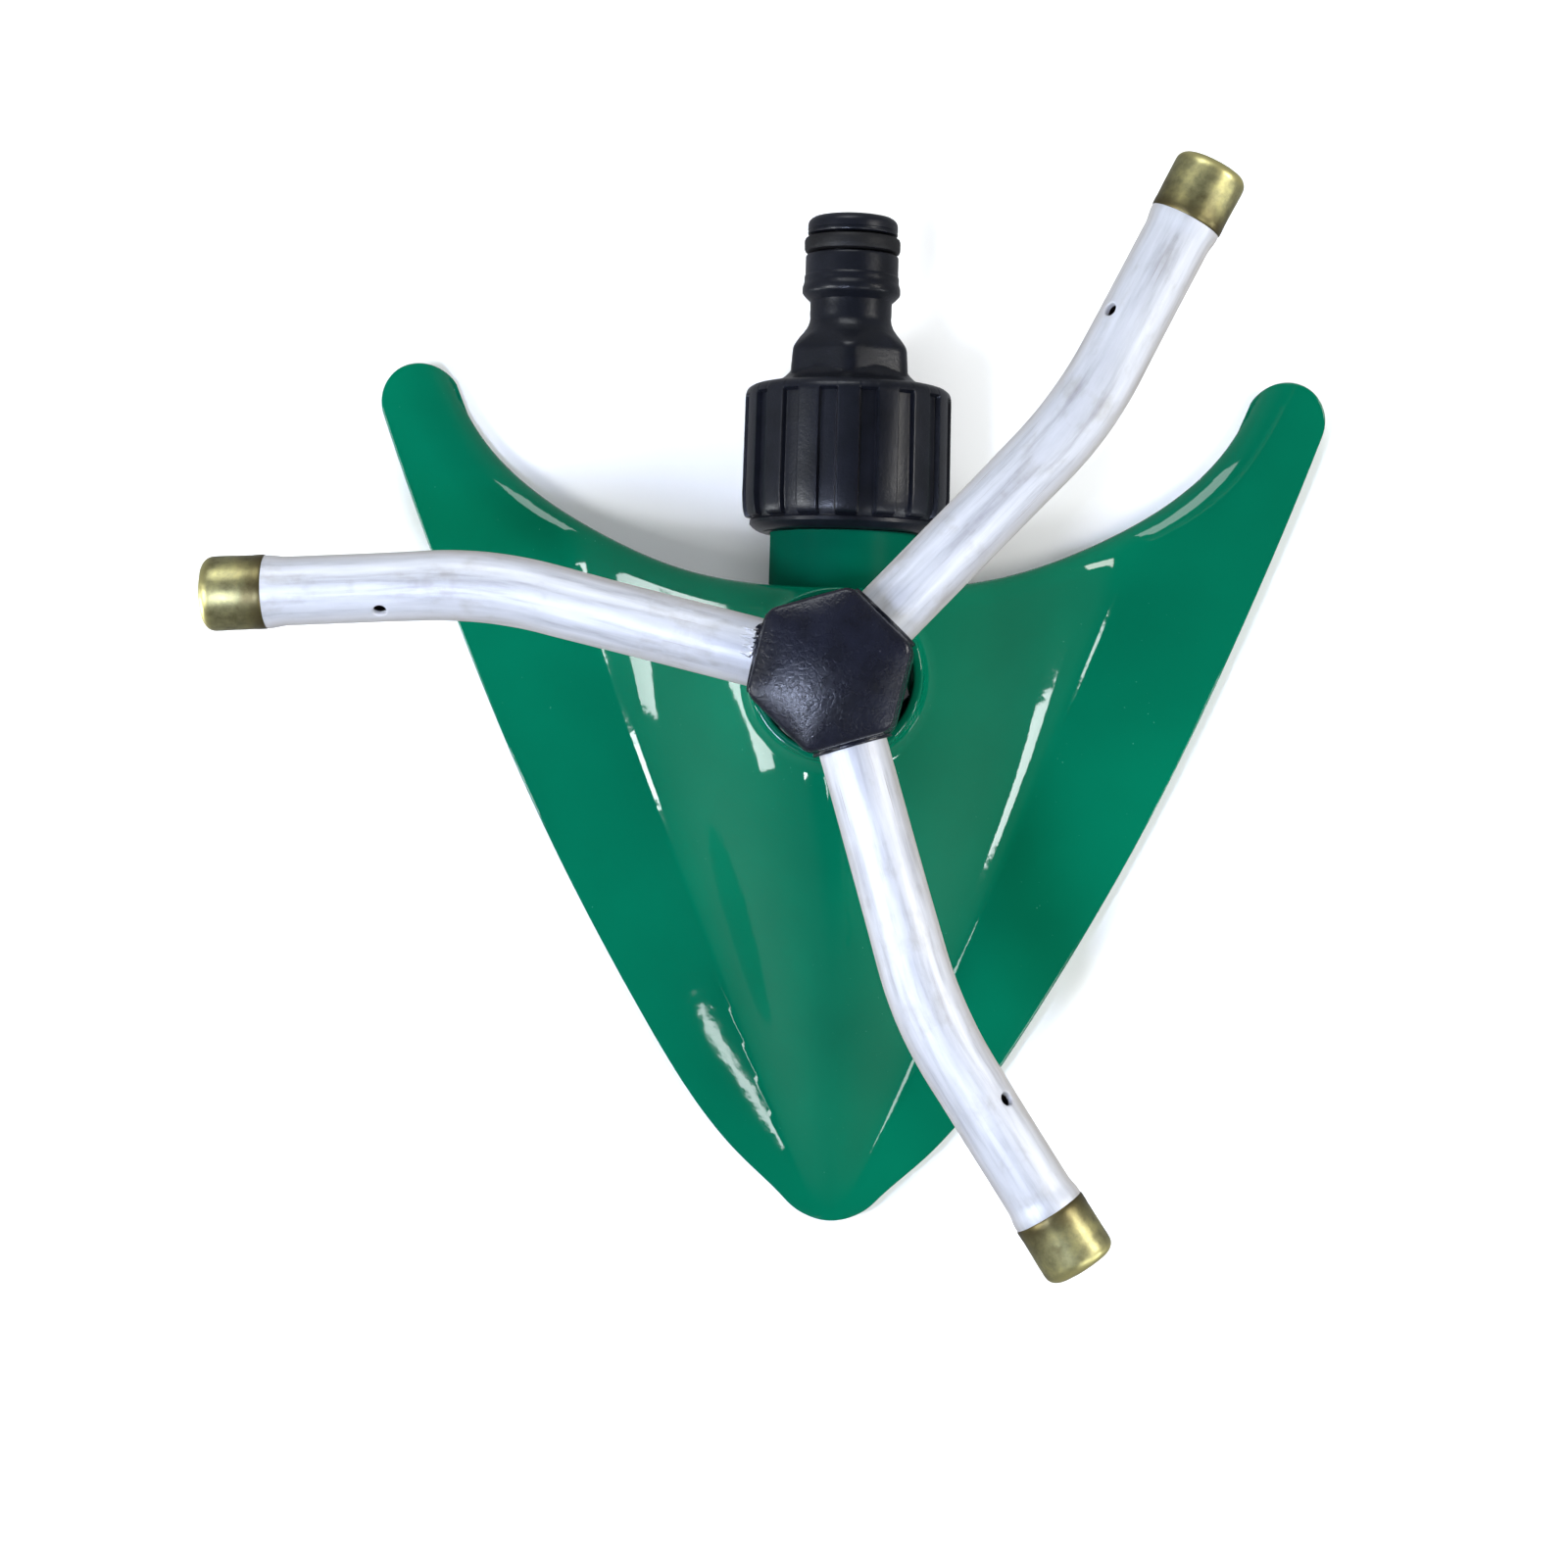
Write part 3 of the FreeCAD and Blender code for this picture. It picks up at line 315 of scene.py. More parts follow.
def leather_plastic(name):
    """The hub's black plastic: a fine leather grain with a soft sheen."""
    material, tree, shader = new_material(name)
    here = place(tree)
    colour = ramp(tree, noise(tree, here, 150, 6, 0.6),
                  [(0.35, srgb(12, 13, 20)), (0.8, srgb(24, 26, 38))])
    cells = node(tree, "ShaderNodeTexVoronoi", {"feature": "DISTANCE_TO_EDGE"},
                 Vector=here, Scale=1050.0)
    pebbles = ramp(tree, cells.outputs["Distance"], [(0.0, 0.0), (0.16, 1.0)])
    specks = ramp(tree, noise(tree, here, 2300, 2, 0.5), [(0.0, 0.0), (0.74, 0.0), (0.80, 0.45)])
    soft = bump(tree, noise(tree, here, 650, 5, 0.65), 0.3, 0.0003)
    feed_all(tree, shader, {
        "Base Color": mix_colour(tree, specks, colour, srgb(120, 118, 125)),
        "Roughness": level(tree, noise(tree, here, 240, 5, 0.6), 0.22, 0.32),
        "Specular IOR Level": 0.26,
        "Normal": bump(tree, pebbles, 0.14, 0.0001, soft)})
    return material


green_gloss = paint("green_gloss", srgb(0, 86, 62), srgb(0, 99, 72), 1.0)
green_satin = paint("green_satin", srgb(0, 72, 54), srgb(0, 84, 63), 0.25)
aluminium = tube_metal()
brass = brass_metal("brass_caps", srgb(206, 197, 132), srgb(148, 144, 104), srgb(80, 70, 44))
hub_black = leather_plastic("hub_black")
connector_black = plastic("connector_black", srgb(12, 14, 20), srgb(22, 24, 32),
                          1500, 0.14, 0.28, 0.38)
nut_black = plastic("nut_black", srgb(20, 20, 24), srgb(30, 30, 35), 1300, 0.2, 0.4, 0.55)
rubber = plastic("black_rubber", srgb(14, 14, 16), srgb(24, 24, 26), 1700, 0.2, 0.42, 0.6)
nylon = plastic("white_nylon", srgb(200, 200, 192), srgb(225, 225, 218), 900, 0.1, 0.4, 0.55)
zinc = brass_metal("zinc_steel", srgb(205, 207, 210), srgb(170, 172, 176), srgb(120, 120, 122))
spindle_brass = brass_metal("spindle_brass", srgb(208, 190, 110), srgb(168, 150, 86),
                            srgb(110, 90, 46))

# ---------------------------------------------------------------- base shell

NOSE_REACH = 96.6
NOSE_RADIUS = 11.0
NOSE_SPAN = (-90, -43)
HORN = (78.8, 49.2)
HORN_RADIUS = 7.09
HORN_SPAN = (-20, 149)
REAR_MIDDLE = 15.2
REAR_HALF = [(26, 18.1), (45, 25.9), (60, 35.4), (67.5, 43.0), (75, 56.0), (80, 66.0)]
SIDE = [(16.2, -85.6), (33.9, -62.2), (57.1, -20.6), (70.6, 9.2)]
OUTLINE_SPACING = 0.7
DENSE_SPACING = 0.25
SKIRT = 5.0
RIDGE = 41.0
WING_SLOPE = 0.2
ROLL = 4.5
HORN_SHOULDER = 4.4
HORN_SHOULDER_REACH = 9.5
HORN_EDGE = 1.8
WALL = 2.4
LIP = 6.0
LIP_EDGE = 0.35
RING_RADIUS = 14.7
RING_TOP = 48.0
RING_BORE = 13.1
RING_SHELF = 34.6
RING_PROFILE = [(RING_RADIUS, 46), (RING_RADIUS, RING_TOP), (RING_BORE, RING_TOP),
                (RING_BORE, RING_SHELF), (RING_RADIUS, RING_SHELF), (RING_RADIUS, 40)]
RING_FILLET = 2.6
RING_POINTS = 144
EDGE = 0.3
POST_CIRCLE = 20
POST_PROFILE = [(1.6, 24.5), (1.6, 18.1), (4.0, 18.1), (4.0, 20.0)]
SLOPE_STEP = 0.03


def spline(points, first_slope=None, last_slope=None, per_span=40):
    """A smooth curve through 2-D points with chord-length spacing and optional end slopes."""
    points = np.array(points, float)
    spans = np.linalg.norm(np.diff(points, axis=0), axis=1)
    count = len(points)
    system = np.zeros((count, count))
    right = np.zeros((count, 2))
    for i in range(1, count - 1):
        a, b = spans[i - 1], spans[i]
        system[i, i - 1], system[i, i], system[i, i + 1] = b, 2 * (a + b), a
        right[i] = 3 * (b * (points[i] - points[i - 1]) / a + a * (points[i + 1] - points[i]) / b)
    for i, slope in ((0, first_slope), (count - 1, last_slope)):
        if slope is not None:
            system[i, i] = 1
            right[i] = slope
        else:
            j, k = (1, 0) if i == 0 else (count - 2, count - 2)
            system[i, i], system[i, j] = 2, 1
            right[i] = 3 * (points[k + 1] - points[k]) / spans[k]
    slopes = np.linalg.solve(system, right)
    curve = []
    for i, span in enumerate(spans):
        for t in np.linspace(0, 1, per_span, endpoint=False):
            a, b = 2 * t ** 3 - 3 * t ** 2 + 1, t ** 3 - 2 * t ** 2 + t
            curve.append(a * points[i] + b * span * slopes[i] + (1 - a) * points[i + 1]
                         + (t ** 3 - t ** 2) * span * slopes[i + 1])
    curve.append(points[-1])
    return np.array(curve)


def arc(centre, radius, start, end, steps=60):
    angles = np.radians(np.linspace(start, end, steps))
    return np.stack([centre[0] + radius * np.cos(angles),
                     centre[1] + radius * np.sin(angles)], axis=1)


def evenly(curve, spacing):
    """The same curve with points at an even spacing."""
    steps = np.linalg.norm(np.diff(curve, axis=0), axis=1)
    lengths = np.concatenate([[0], np.cumsum(steps)])
    count = max(2, int(round(lengths[-1] / spacing)) + 1)
    wanted = np.linspace(0, lengths[-1], count)
    return np.stack([np.interp(wanted, lengths, curve[:, i]) for i in (0, 1)], axis=1)


def direction(angle):
    return np.array([math.cos(math.radians(angle)), math.sin(math.radians(angle))])


def normalised(vectors):
    return vectors / np.maximum(np.linalg.norm(vectors, axis=1, keepdims=True), 1e-9)


def inward_normals(loop, closed=True):
    if closed:
        along = np.roll(loop, -1, axis=0) - np.roll(loop, 1, axis=0)
    else:
        along = np.gradient(loop, axis=0)
    tangents = normalised(along)
    return np.stack([-tangents[:, 1], tangents[:, 0]], axis=1)


rear_points = [(-x, y) for x, y in reversed(REAR_HALF)] + [(0, REAR_MIDDLE)] + REAR_HALF
rear_line = spline(rear_points)
nose_centre = (0.0, NOSE_RADIUS - NOSE_REACH)
nose_end = np.array(nose_centre) + NOSE_RADIUS * direction(NOSE_SPAN[1])
horn_start = np.array(HORN) + HORN_RADIUS * direction(HORN_SPAN[0])
horn_finish = np.array(HORN) + HORN_RADIUS * direction(HORN_SPAN[1])
side_line = spline([nose_end, *SIDE, horn_start], direction(47), direction(70))
rear_right = rear_line[(rear_line[:, 0] > 0) & (rear_line[:, 0] < horn_finish[0] - 2.2)]
right_rim = np.concatenate([arc(nose_centre, NOSE_RADIUS, *NOSE_SPAN), side_line[1:],
                            arc(HORN, HORN_RADIUS, *HORN_SPAN)[1:]])
left_rim = right_rim[::-1] * [-1, 1]
rim_line = np.concatenate([left_rim, right_rim[1:]])
rim_part = evenly(rim_line, OUTLINE_SPACING)
rear_part = evenly(np.concatenate([[rim_part[-1]], rear_right[::-1], [[0, REAR_MIDDLE]],
                                   rear_right * [-1, 1], [rim_part[0]]]), OUTLINE_SPACING)
outline = np.concatenate([rim_part[:-1], rear_part[:-1]])
outline_normals = inward_normals(outline)
rear_dense = evenly(rear_line, DENSE_SPACING)
rear_normals = -inward_normals(rear_dense, closed=False)
rim_dense = evenly(rim_line, DENSE_SPACING)
rim_normals = inward_normals(rim_dense, closed=False)


def distance_inside(points, line, normals, block_size=2000):
    """Signed distance from a line, positive on the side its normals point to."""
    result = np.empty(len(points))
    for start in range(0, len(points), block_size):
        block = points[start:start + block_size]
        gaps = block[:, None, :] - line[None, :, :]
        nearest = np.argmin((gaps ** 2).sum(axis=2), axis=1)
        chosen = gaps[np.arange(len(block)), nearest]
        result[start:start + block_size] = (chosen * normals[nearest]).sum(axis=1)
    return result


def half_width(y):
    return 3.76 * np.maximum(y + NOSE_REACH, 0.8) ** 0.63


def valley_distance(y):
    return 0.42 * np.maximum(y + 100, 2.0) + 1.5


def ridge_and_wings(x, y):
    """Height of the outside before its edges are rounded."""
    width = half_width(y)
    middle = SKIRT + WING_SLOPE * width / 2
    wing = middle - WING_SLOPE * x ** 2 / (2 * width)
    rise = np.clip((y + 97) / 92, 0, 1)
    full = SKIRT + (RIDGE - SKIRT) * np.sin(rise * math.pi / 2) ** 1.3
    across = np.clip(np.abs(x) / valley_distance(y), 0, 1)
    return wing + np.maximum(full - middle, 0) * (1 - across ** 2) ** 2


def quarter_drop(distance, radius):
    """How far a rounded edge falls at a distance inside it."""
    short = np.clip(radius - distance, 0, radius)
    return radius - np.sqrt(radius ** 2 - short ** 2)


def rear_drop(points):
    """How far the rear edge falls: a quarter round in the middle, a soft shoulder on the horns."""
    distance = distance_inside(points, rear_dense, rear_normals)
    shoulder = HORN_SHOULDER * np.clip(1 - distance / HORN_SHOULDER_REACH, 0, 1) ** 2
    shoulder += quarter_drop(distance, HORN_EDGE)
    on_horn = smoothstep(28, 70, np.abs(points[:, 0]))
    return quarter_drop(distance, ROLL) * (1 - on_horn) + shoulder * on_horn


def outer_height(points):
    x, y = points[:, 0], points[:, 1]
    height = ridge_and_wings(x, y)
    height -= rear_drop(points)
    height -= quarter_drop(distance_inside(points, rim_dense, rim_normals), EDGE)
    height += quarter_drop(np.hypot(x, y) - RING_RADIUS, RING_FILLET)
    return height


def inner_height(points):
    height = ridge_and_wings(points[:, 0], points[:, 1]) - WALL
    from_edge = distance_inside(points, rear_dense, rear_normals) - WALL
    return height - quarter_drop(from_edge, ROLL - WALL)


def fill_plan(loop, hole, extra, spacing, margin):
    """Triangles that fill a closed loop round a hole, through extra points and an even field."""
    low, high = loop.min(axis=0), loop.max(axis=0)
    hole_radius = np.hypot(*hole[0])
    rows = np.arange(low[1], high[1], spacing * 0.866)
    field = []
    for number, y in enumerate(rows):
        xs = np.arange(low[0] + (number % 2) * spacing / 2, high[0], spacing)
        field.append(np.stack([xs, np.full(len(xs), y)], axis=1))
    field = np.concatenate(field)
    normals = inward_normals(loop)
    field = field[distance_inside(field, loop, normals) > margin]
    field = field[np.hypot(field[:, 0], field[:, 1]) > hole_radius + margin * 0.6]
    points = np.concatenate([loop, hole, extra, field])
    rim_edges = [(i, (i + 1) % len(loop)) for i in range(len(loop))]
    start = len(loop)
    hole_edges = [(start + i, start + (i + 1) % len(hole)) for i in range(len(hole))]
    made = delaunay_2d_cdt([Vector(p) for p in points], rim_edges + hole_edges, [], 0, 1e-5)
    places = np.array([tuple(v) for v in made[0]])
    triangles = np.array([tuple(f) for f in made[2]])
    centres = places[triangles].mean(axis=1)
    clear_of_hole = hole_radius * 0.9995 * math.cos(math.pi / len(hole))
    keep = distance_inside(centres, loop, normals) > 0
    keep &= np.hypot(centres[:, 0], centres[:, 1]) > clear_of_hole
    return places, triangles[keep]


def rings_inside(loop, offsets):
    """Copies of a loop moved inwards, without the points that crowd another edge."""
    normals = inward_normals(loop)
    rings = []
    for offset in offsets:
        moved = loop + normals * offset
        clear = distance_inside(moved, loop, normals) > offset * 0.97
        rings.append(moved[clear])
    return np.concatenate(rings)


def circle(radius, count):
    return np.array([(radius * math.cos(a), radius * math.sin(a)) for a in even_angles(count)])


def surface_normals(height, points):
    slopes = [(height(points + step) - height(points - step)) / (2 * SLOPE_STEP)
              for step in ([SLOPE_STEP, 0], [0, SLOPE_STEP])]
    return normalised(np.stack([-slopes[0], -slopes[1], np.ones(len(points))], axis=1))


def make_shell_skin():
    """The painted outside, from above: ridge, valleys, wings, rolled rear edge and ring fillet."""
    hole = circle(RING_RADIUS, RING_POINTS)
    extra = [rings_inside(outline, (0.06, 0.14, 0.24, 0.34, 0.7))]
    normals = inward_normals(rear_part, closed=False)
    for angle in (75, 63, 52, 42, 32, 22, 11, 0):
        offset = ROLL * (1 - math.sin(math.radians(angle)))
        moved = rear_part + normals * offset
        extra.append(moved[(distance_inside(moved, rim_dense, rim_normals) > 1.0)
                           & (np.hypot(moved[:, 0], moved[:, 1]) > RING_RADIUS + 0.3)])
    for offset in (0.08, 0.3, 0.65, 1.1, 1.6, 2.1, 2.6, 3.4):
        ring = circle(RING_RADIUS + offset, RING_POINTS)
        extra.append(ring[distance_inside(ring, rear_dense, rear_normals) > 0.5])
    places, triangles = fill_plan(outline, hole, np.concatenate(extra), 1.0, 1.0)
    points = np.column_stack([places, outer_height(places)])
    add_mesh("shell_skin", points, triangles, green_gloss, "base",
             ["base_shell"], normals=surface_normals(outer_height, places))


def make_shell_inside():
    """The shell's edge, from the skin over the lip, and the hollow underside."""
    bottoms = np.maximum(0.0, ridge_and_wings(outline[:, 0], outline[:, 1]) - LIP)
    inset = outline + outline_normals * WALL
    outer_top, inner_top = outer_height(outline), inner_height(inset)
    loops = [
        (outline, outer_top),
        (outline, np.minimum(outer_top, bottoms + LIP_EDGE)),
        (outline + outline_normals * LIP_EDGE, bottoms),
        (inset - outline_normals * LIP_EDGE, bottoms),
        (inset, np.minimum(inner_top, bottoms + LIP_EDGE)),
        (inset, inner_top)]
    points = np.concatenate([np.column_stack(loop) for loop in loops])
    add_mesh("shell_edge", points, grid_faces(len(loops), len(outline)), green_gloss, "base")
    hole = circle(RING_RADIUS - 0.2, 96)
    coarse = evenly(np.concatenate([inset, inset[:1]]), 1.2)[:-1]
    rings = rings_inside(coarse, (0.2, 0.6, 1.1, 1.7))
    places, triangles = fill_plan(coarse, hole, rings, 2.2, 2.0)
    add_mesh("shell_underside", np.column_stack([places, inner_height(places)]),
             triangles[:, ::-1], green_satin, "base")


def make_ring_and_posts():
    """The raised ring round the bearing and the three posts for the elbow's screws."""
    points, faces = lathe(rounded(RING_PROFILE, 0.55), even_angles(RING_POINTS))
    points = np.array(points)
    points[:RING_POINTS, 2] = outer_height(circle(RING_RADIUS, RING_POINTS)) - 0.05
    add_mesh("shell_ring", points, faces, green_gloss, "base")
    for number, turn in enumerate((-1, 0, 1), 1):
        x, y = POST_CIRCLE * direction(-90 + 72 * turn)
        points, faces = lathe(rounded(POST_PROFILE, 0.4), even_angles(48))
        points = np.array(points) + [x, y, 0]
        points[-48:, 2] = inner_height(points[-48:, :2]) + 0.7
        add_mesh(f"screw_post_{number}", points, faces, green_satin, "base")


# ---------------------------------------------------------------- rotor

ARMS = (1, 2, 3)
ARM_HEIGHT = 62.0
HEADING = 47.1
TUBE = 5.7
TUBE_POINTS = 64
BEND_AT = 58.5
BEND = 16.5
BEND_RADIUS = 69.0
BEND_ANGLE = math.radians(BEND)
SETBACK = BEND_RADIUS * math.tan(BEND_ANGLE / 2)
BEND_START = BEND_AT - SETBACK
BEND_LENGTH = BEND_RADIUS * BEND_ANGLE
TIP = 46.8
CAP_LENGTH = 10.4
JET_PAST_BEND = 17.2
JET_ANGLE = math.radians(47)
JET_CELL = 0.75
JET_WALL = ((1.42, 0.0), (1.32, -0.02), (1.22, -0.08), (1.13, -0.2), (1.08, -0.4), (1.06, -0.9))
CAP_SIDE = [(5.76, 0.05), (6.02, 0.0), (6.16, 0.25), (6.16, 1.2), (6.12, 2.0), (6.14, 4.0),
            (6.16, 6.0), (6.18, 7.6), (6.17, 8.4)]
CAP_FACE = [(3.9, 0.04), (3.2, 0.16), (2.2, 0.20), (1.0, 0.20), (0.01, 0.20)]
CAP_PIT = [(0.75, 0.17), (0.6, 0.24), (0.01, 0.26)]
HUB_CAP_HALF = 12.0
HUB_CAP_SHOULDER = 74.2
HUB_CAP_TOP = 75.95
HUB_RINGS = [(8, 53.22), (0.5, 53.22), (0.12, 53.34), (0.0, 53.6), (0.0, 68.5), (0.15, 68.85),
             (0.5, 68.98), (8, 68.98)]


def arm_heading(number):
    return HEADING + 120 * (number - 1)


def turned_by(x, y, degrees):
    """A point in plan turned about the rotor's axis."""
    spin = math.radians(degrees)
    return x * math.cos(spin) - y * math.sin(spin), x * math.sin(spin) + y * math.cos(spin)


def arm_path(distance):
    """Point and heading on an arm's centre line, by distance from the rotor's axis."""
    if distance <= BEND_START:
        return np.array([distance, 0.0]), 0.0
    if distance <= BEND_START + BEND_LENGTH:
        turned = (distance - BEND_START) / BEND_RADIUS
        return np.array([BEND_START + BEND_RADIUS * math.sin(turned),
                         BEND_RADIUS * (1 - math.cos(turned))]), turned
    past = distance - BEND_START - BEND_LENGTH + SETBACK
    point = np.array([BEND_AT + past * math.cos(BEND_ANGLE), past * math.sin(BEND_ANGLE)])
    return point, BEND_ANGLE


def path_distance(past_corner):
    """Distance along the path of a point on the outer straight run."""
    return BEND_START + BEND_LENGTH + past_corner - SETBACK


CAP_START = path_distance(TIP - CAP_LENGTH)


def tube_radii(distance):
    """Half width and half height: slightly flattened in the bend, belled out at the cap."""
    middle = path_distance(0) - 1
    squeeze = math.exp(-((distance - middle) / 13.0) ** 2)
    bell = 0.35 * float(smoothstep(CAP_START - 3.4, CAP_START - 0.5, distance))
    return TUBE * (1 + 0.030 * squeeze) + bell, TUBE * (1 - 0.045 * squeeze) + bell


def tube_point(distance, angle, heading, wobble, grow=0.0):
    centre, turned = arm_path(distance)
    wide, tall = tube_radii(distance)
    ripple = wobble(distance, angle)
    across = (wide + ripple + grow) * math.sin(angle)
    up = (tall + ripple + grow) * math.cos(angle)
    left = np.array([-math.sin(turned), math.cos(turned)])
    return (*turned_by(*(centre + left * across), heading), ARM_HEIGHT + up)


def make_wobble(number):
    """Small dents and hand-bent unevenness that differ from arm to arm."""
    source = np.random.default_rng(20 + number)
    spots = [(source.uniform(20, 100), source.uniform(0, 2 * math.pi), source.uniform(3, 8),
              source.uniform(0.02, 0.07)) for _ in range(16)]

    def wobble(distance, angle):
        total = 0.0
        for where, side, spread, depth in spots:
            gap = math.atan2(math.sin(angle - side), math.cos(angle - side)) * TUBE
            total -= depth * math.exp(-((distance - where) ** 2 + gap ** 2) / spread ** 2)
        return total
    return wobble


def make_arm(number):
    """A bent tube with its jet hole and a cut end inside the cap."""
    heading = arm_heading(number)
    wobble = make_wobble(number)
    jet = path_distance(JET_PAST_BEND)
    stations = list(np.linspace(11.6, jet - 4 * JET_CELL, 90))
    stations += [jet + JET_CELL * i for i in range(-3, 5)]
    stations += list(np.linspace(jet + 5 * JET_CELL, CAP_START - 3.6, 16))
    stations += list(np.linspace(CAP_START - 3.4, CAP_START - 0.05, 12))
    count = TUBE_POINTS
    turn = 2 * math.pi / count
    shift = JET_ANGLE - round(JET_ANGLE / turn) * turn
    angles = [turn * j + shift for j in range(count)]
    points, along, around = [], [], []

    def add_point(distance, angle, side, grow=0.0, station=None):
        points.append(tube_point(distance, angle, heading, wobble, grow))
        along.append(distance if station is None else station)
        around.append(TUBE * side)
        return len(points) - 1

    for distance in stations:
        for angle in angles:
            add_point(distance, angle, abs(math.atan2(math.sin(angle), math.cos(angle))))
    faces = grid_faces(len(stations), count)
    centre_row = int(np.argmin([abs(s - jet) for s in stations]))
    centre_column = round((JET_ANGLE - shift) / turn) % count
    rows, columns = 2, 3
    removed = {i * count + j % count
               for i in range(centre_row - rows, centre_row + rows)
               for j in range(centre_column - columns, centre_column + columns)}
    faces = [face for index, face in enumerate(faces) if index not in removed]
    square = [(-rows, k) for k in range(-columns, columns)]
    square += [(k, columns) for k in range(-rows, rows)]
    square += [(-i, -j) for i, j in square]
    loops = [[(centre_row + i) * count + (centre_column + j) % count for i, j in square]]
    for radius, grow in JET_WALL:
        loop = []
        for i, j in square:
            bearing = math.atan2(j * turn * TUBE, i * JET_CELL)
            angle = JET_ANGLE + radius * math.sin(bearing) / TUBE
            loop.append(add_point(jet + radius * math.cos(bearing), angle, angle, grow))
        loops.append(loop)
    for first, second in zip(loops, loops[1:]):
        faces += bridge(first, second)
    last = stations[-1]
    inner = range((len(stations) - 1) * count, len(stations) * count)
    for grow, inward in ((-0.25, 0.05), (-0.75, 0.05), (-0.8, -2.5)):
        loop = [add_point(last + inward, angle, angle, grow, last) for angle in angles]
        faces += bridge(inner, loop)
        inner = loop
    layers = {"along": along, "around": around, "seed": [number * 7.3] * len(points)}
    add_mesh(f"arm_{number}", points, faces, aluminium, "rotor",
             [f"arm_tube_{number}"], layers)


def make_end_cap(number):
    """A brass cap pressed over the tube's end, rolled at the far edge."""
    phase = np.random.default_rng(50 + number).uniform(0, 6, 3)
    length = CAP_LENGTH
    profile = list(CAP_SIDE)
    for step in range(1, 10):
        angle = math.pi / 2 * step / 9
        profile.append((4.28 + 1.88 * math.cos(angle), length - 1.9 + 1.88 * math.sin(angle)))
    profile += [(radius, length - sunk) for radius, sunk in CAP_FACE]
    angles = even_angles(72)

    def dented(radius, height, angle):
        if radius < 0.5:
            return radius
        ripple = 0.022 * math.sin(3 * angle + phase[0])
        ripple += 0.014 * math.sin(7 * angle + phase[1] + height)
        return min(radius * (1 + ripple / 6), 6.2)

    points, faces = lathe(profile, angles, dented)
    radii, heights = np.repeat(np.array(profile), len(angles), axis=0).T
    # Painted shade: strongest at the open end and gone about 6.6 mm along the cap.
    open_end_shade = np.clip(1 - heights / 6.6, 0, 1) ** 0.8
    # Painted highlight along the rolled far edge, fading towards the middle of the end face.
    edge_highlight = np.exp(-((heights - (length - 0.6)) / 0.9) ** 2)
    edge_highlight *= np.clip((radii - 3.5) / 1.2, 0.3, 1)
    heading = arm_heading(number)
    centre, _ = arm_path(CAP_START)
    lay = (Matrix.Translation((*turned_by(*centre, heading), ARM_HEIGHT))
           @ Matrix.Rotation(math.radians(heading + BEND), 4, "Z")
           @ Matrix.Rotation(math.pi / 2, 4, "Y") @ Matrix.Rotation(math.pi, 4, "Z"))
    placed = [tuple(lay @ Vector(p)) for p in points]
    add_mesh(f"brass_cap_{number}", placed, faces, brass, f"end_cap_{number}",
             [f"end_cap_{number}"], {"open_end_shade": open_end_shade, "edge_highlight": edge_highlight})
    # Painted shade: a black disc on the end face stands in for the dark inside of the jet hole.
    hole = 3.0 * direction(90 + 16 * (number - 2))
    points, faces = lathe([(radius, length - sunk) for radius, sunk in CAP_PIT], even_angles(24))
    pit = [tuple(lay @ (Vector(p) + Vector((*hole, 0.1)))) for p in points]
    add_mesh(f"cap_jet_shade_{number}", pit, faces, nut_black, f"end_cap_{number}",
             layers={"open_end_shade": [1.0] * len(pit), "edge_highlight": [0.0] * len(pit)})


def hexagon_reach(flats, angle, corner):
    """Distance to a hexagon's edge at an angle, with rounded corners; flats face 0, 60, ..."""
    folded = (angle + math.pi / 6) % (math.pi / 3) - math.pi / 6
    flat = flats / 2 / math.cos(folded)
    limit = flats / math.sqrt(3) - corner
    blend = corner * 0.9
    gap = np.clip(0.5 + 0.5 * (limit - flat) / blend, 0, 1)
    return limit * (1 - gap) + flat * gap - blend * gap * (1 - gap)


def hex_angles():
    """Angles that crowd towards the six corners."""
    pattern = [0, 5, 10, 15, 20, 23, 25.5, 27.5, 28.8, 30, 31.2, 32.5, 34.5, 37, 40, 45, 50, 55]
    return [math.radians(60 * k + a) for k in range(6) for a in pattern]


def hex_solid(name, rings, flats, corner, replaces, crown=None):
    """A stack of hexagonal outlines; rings are (inset, height) pairs, a crown rounds the top."""
    angles = hex_angles()
    points = []
    for inset, height in rings:
        scale = max(1 - 2 * inset / flats, 0.0005)
        for angle in angles:
            reach = hexagon_reach(flats, angle, corner) * scale
            spun = angle + math.radians(HEADING)
            top = height if crown is None else crown(inset, height, reach)
            points.append((reach * math.cos(spun), reach * math.sin(spun), top))
    faces = grid_faces(len(rings), len(angles))
    add_mesh(name, points, faces, hub_black, "rotor", replaces)


def make_hub():
    edge = 1.0
    rings = [(0.6, 69.07), (0.15, 69.07), (0.0, 69.25), (0.0, HUB_CAP_SHOULDER - edge)]
    rings += [(edge * (1 - math.cos(a)), HUB_CAP_SHOULDER - edge + edge * math.sin(a))
              for a in (math.radians(d) for d in (15, 30, 45, 60, 72))]
    rim, rim_height = rings[-1]
    width = HUB_CAP_HALF - rim
    rings += [(rim + width * step / 16, rim_height) for step in range(1, 17)]

    def crown(inset, height, reach):
        """Hexagonal at the rim, running into a round dome."""
        if inset <= rim:
            return height
        near = 1 - (inset - rim) / width
        round_part = 1 - near ** 4
        spread = near * (1 - round_part)
        spread += min(1.0, reach / (HUB_CAP_HALF + 0.8)) * round_part
        return height + (HUB_CAP_TOP - height) * (1 - spread ** 1.9)

    hex_solid("cap", rings, 2 * HUB_CAP_HALF, 0.4, ["hub_cap"], crown)
    hex_solid("hub", HUB_RINGS, 24.5, 0.45, ["hub_body"])


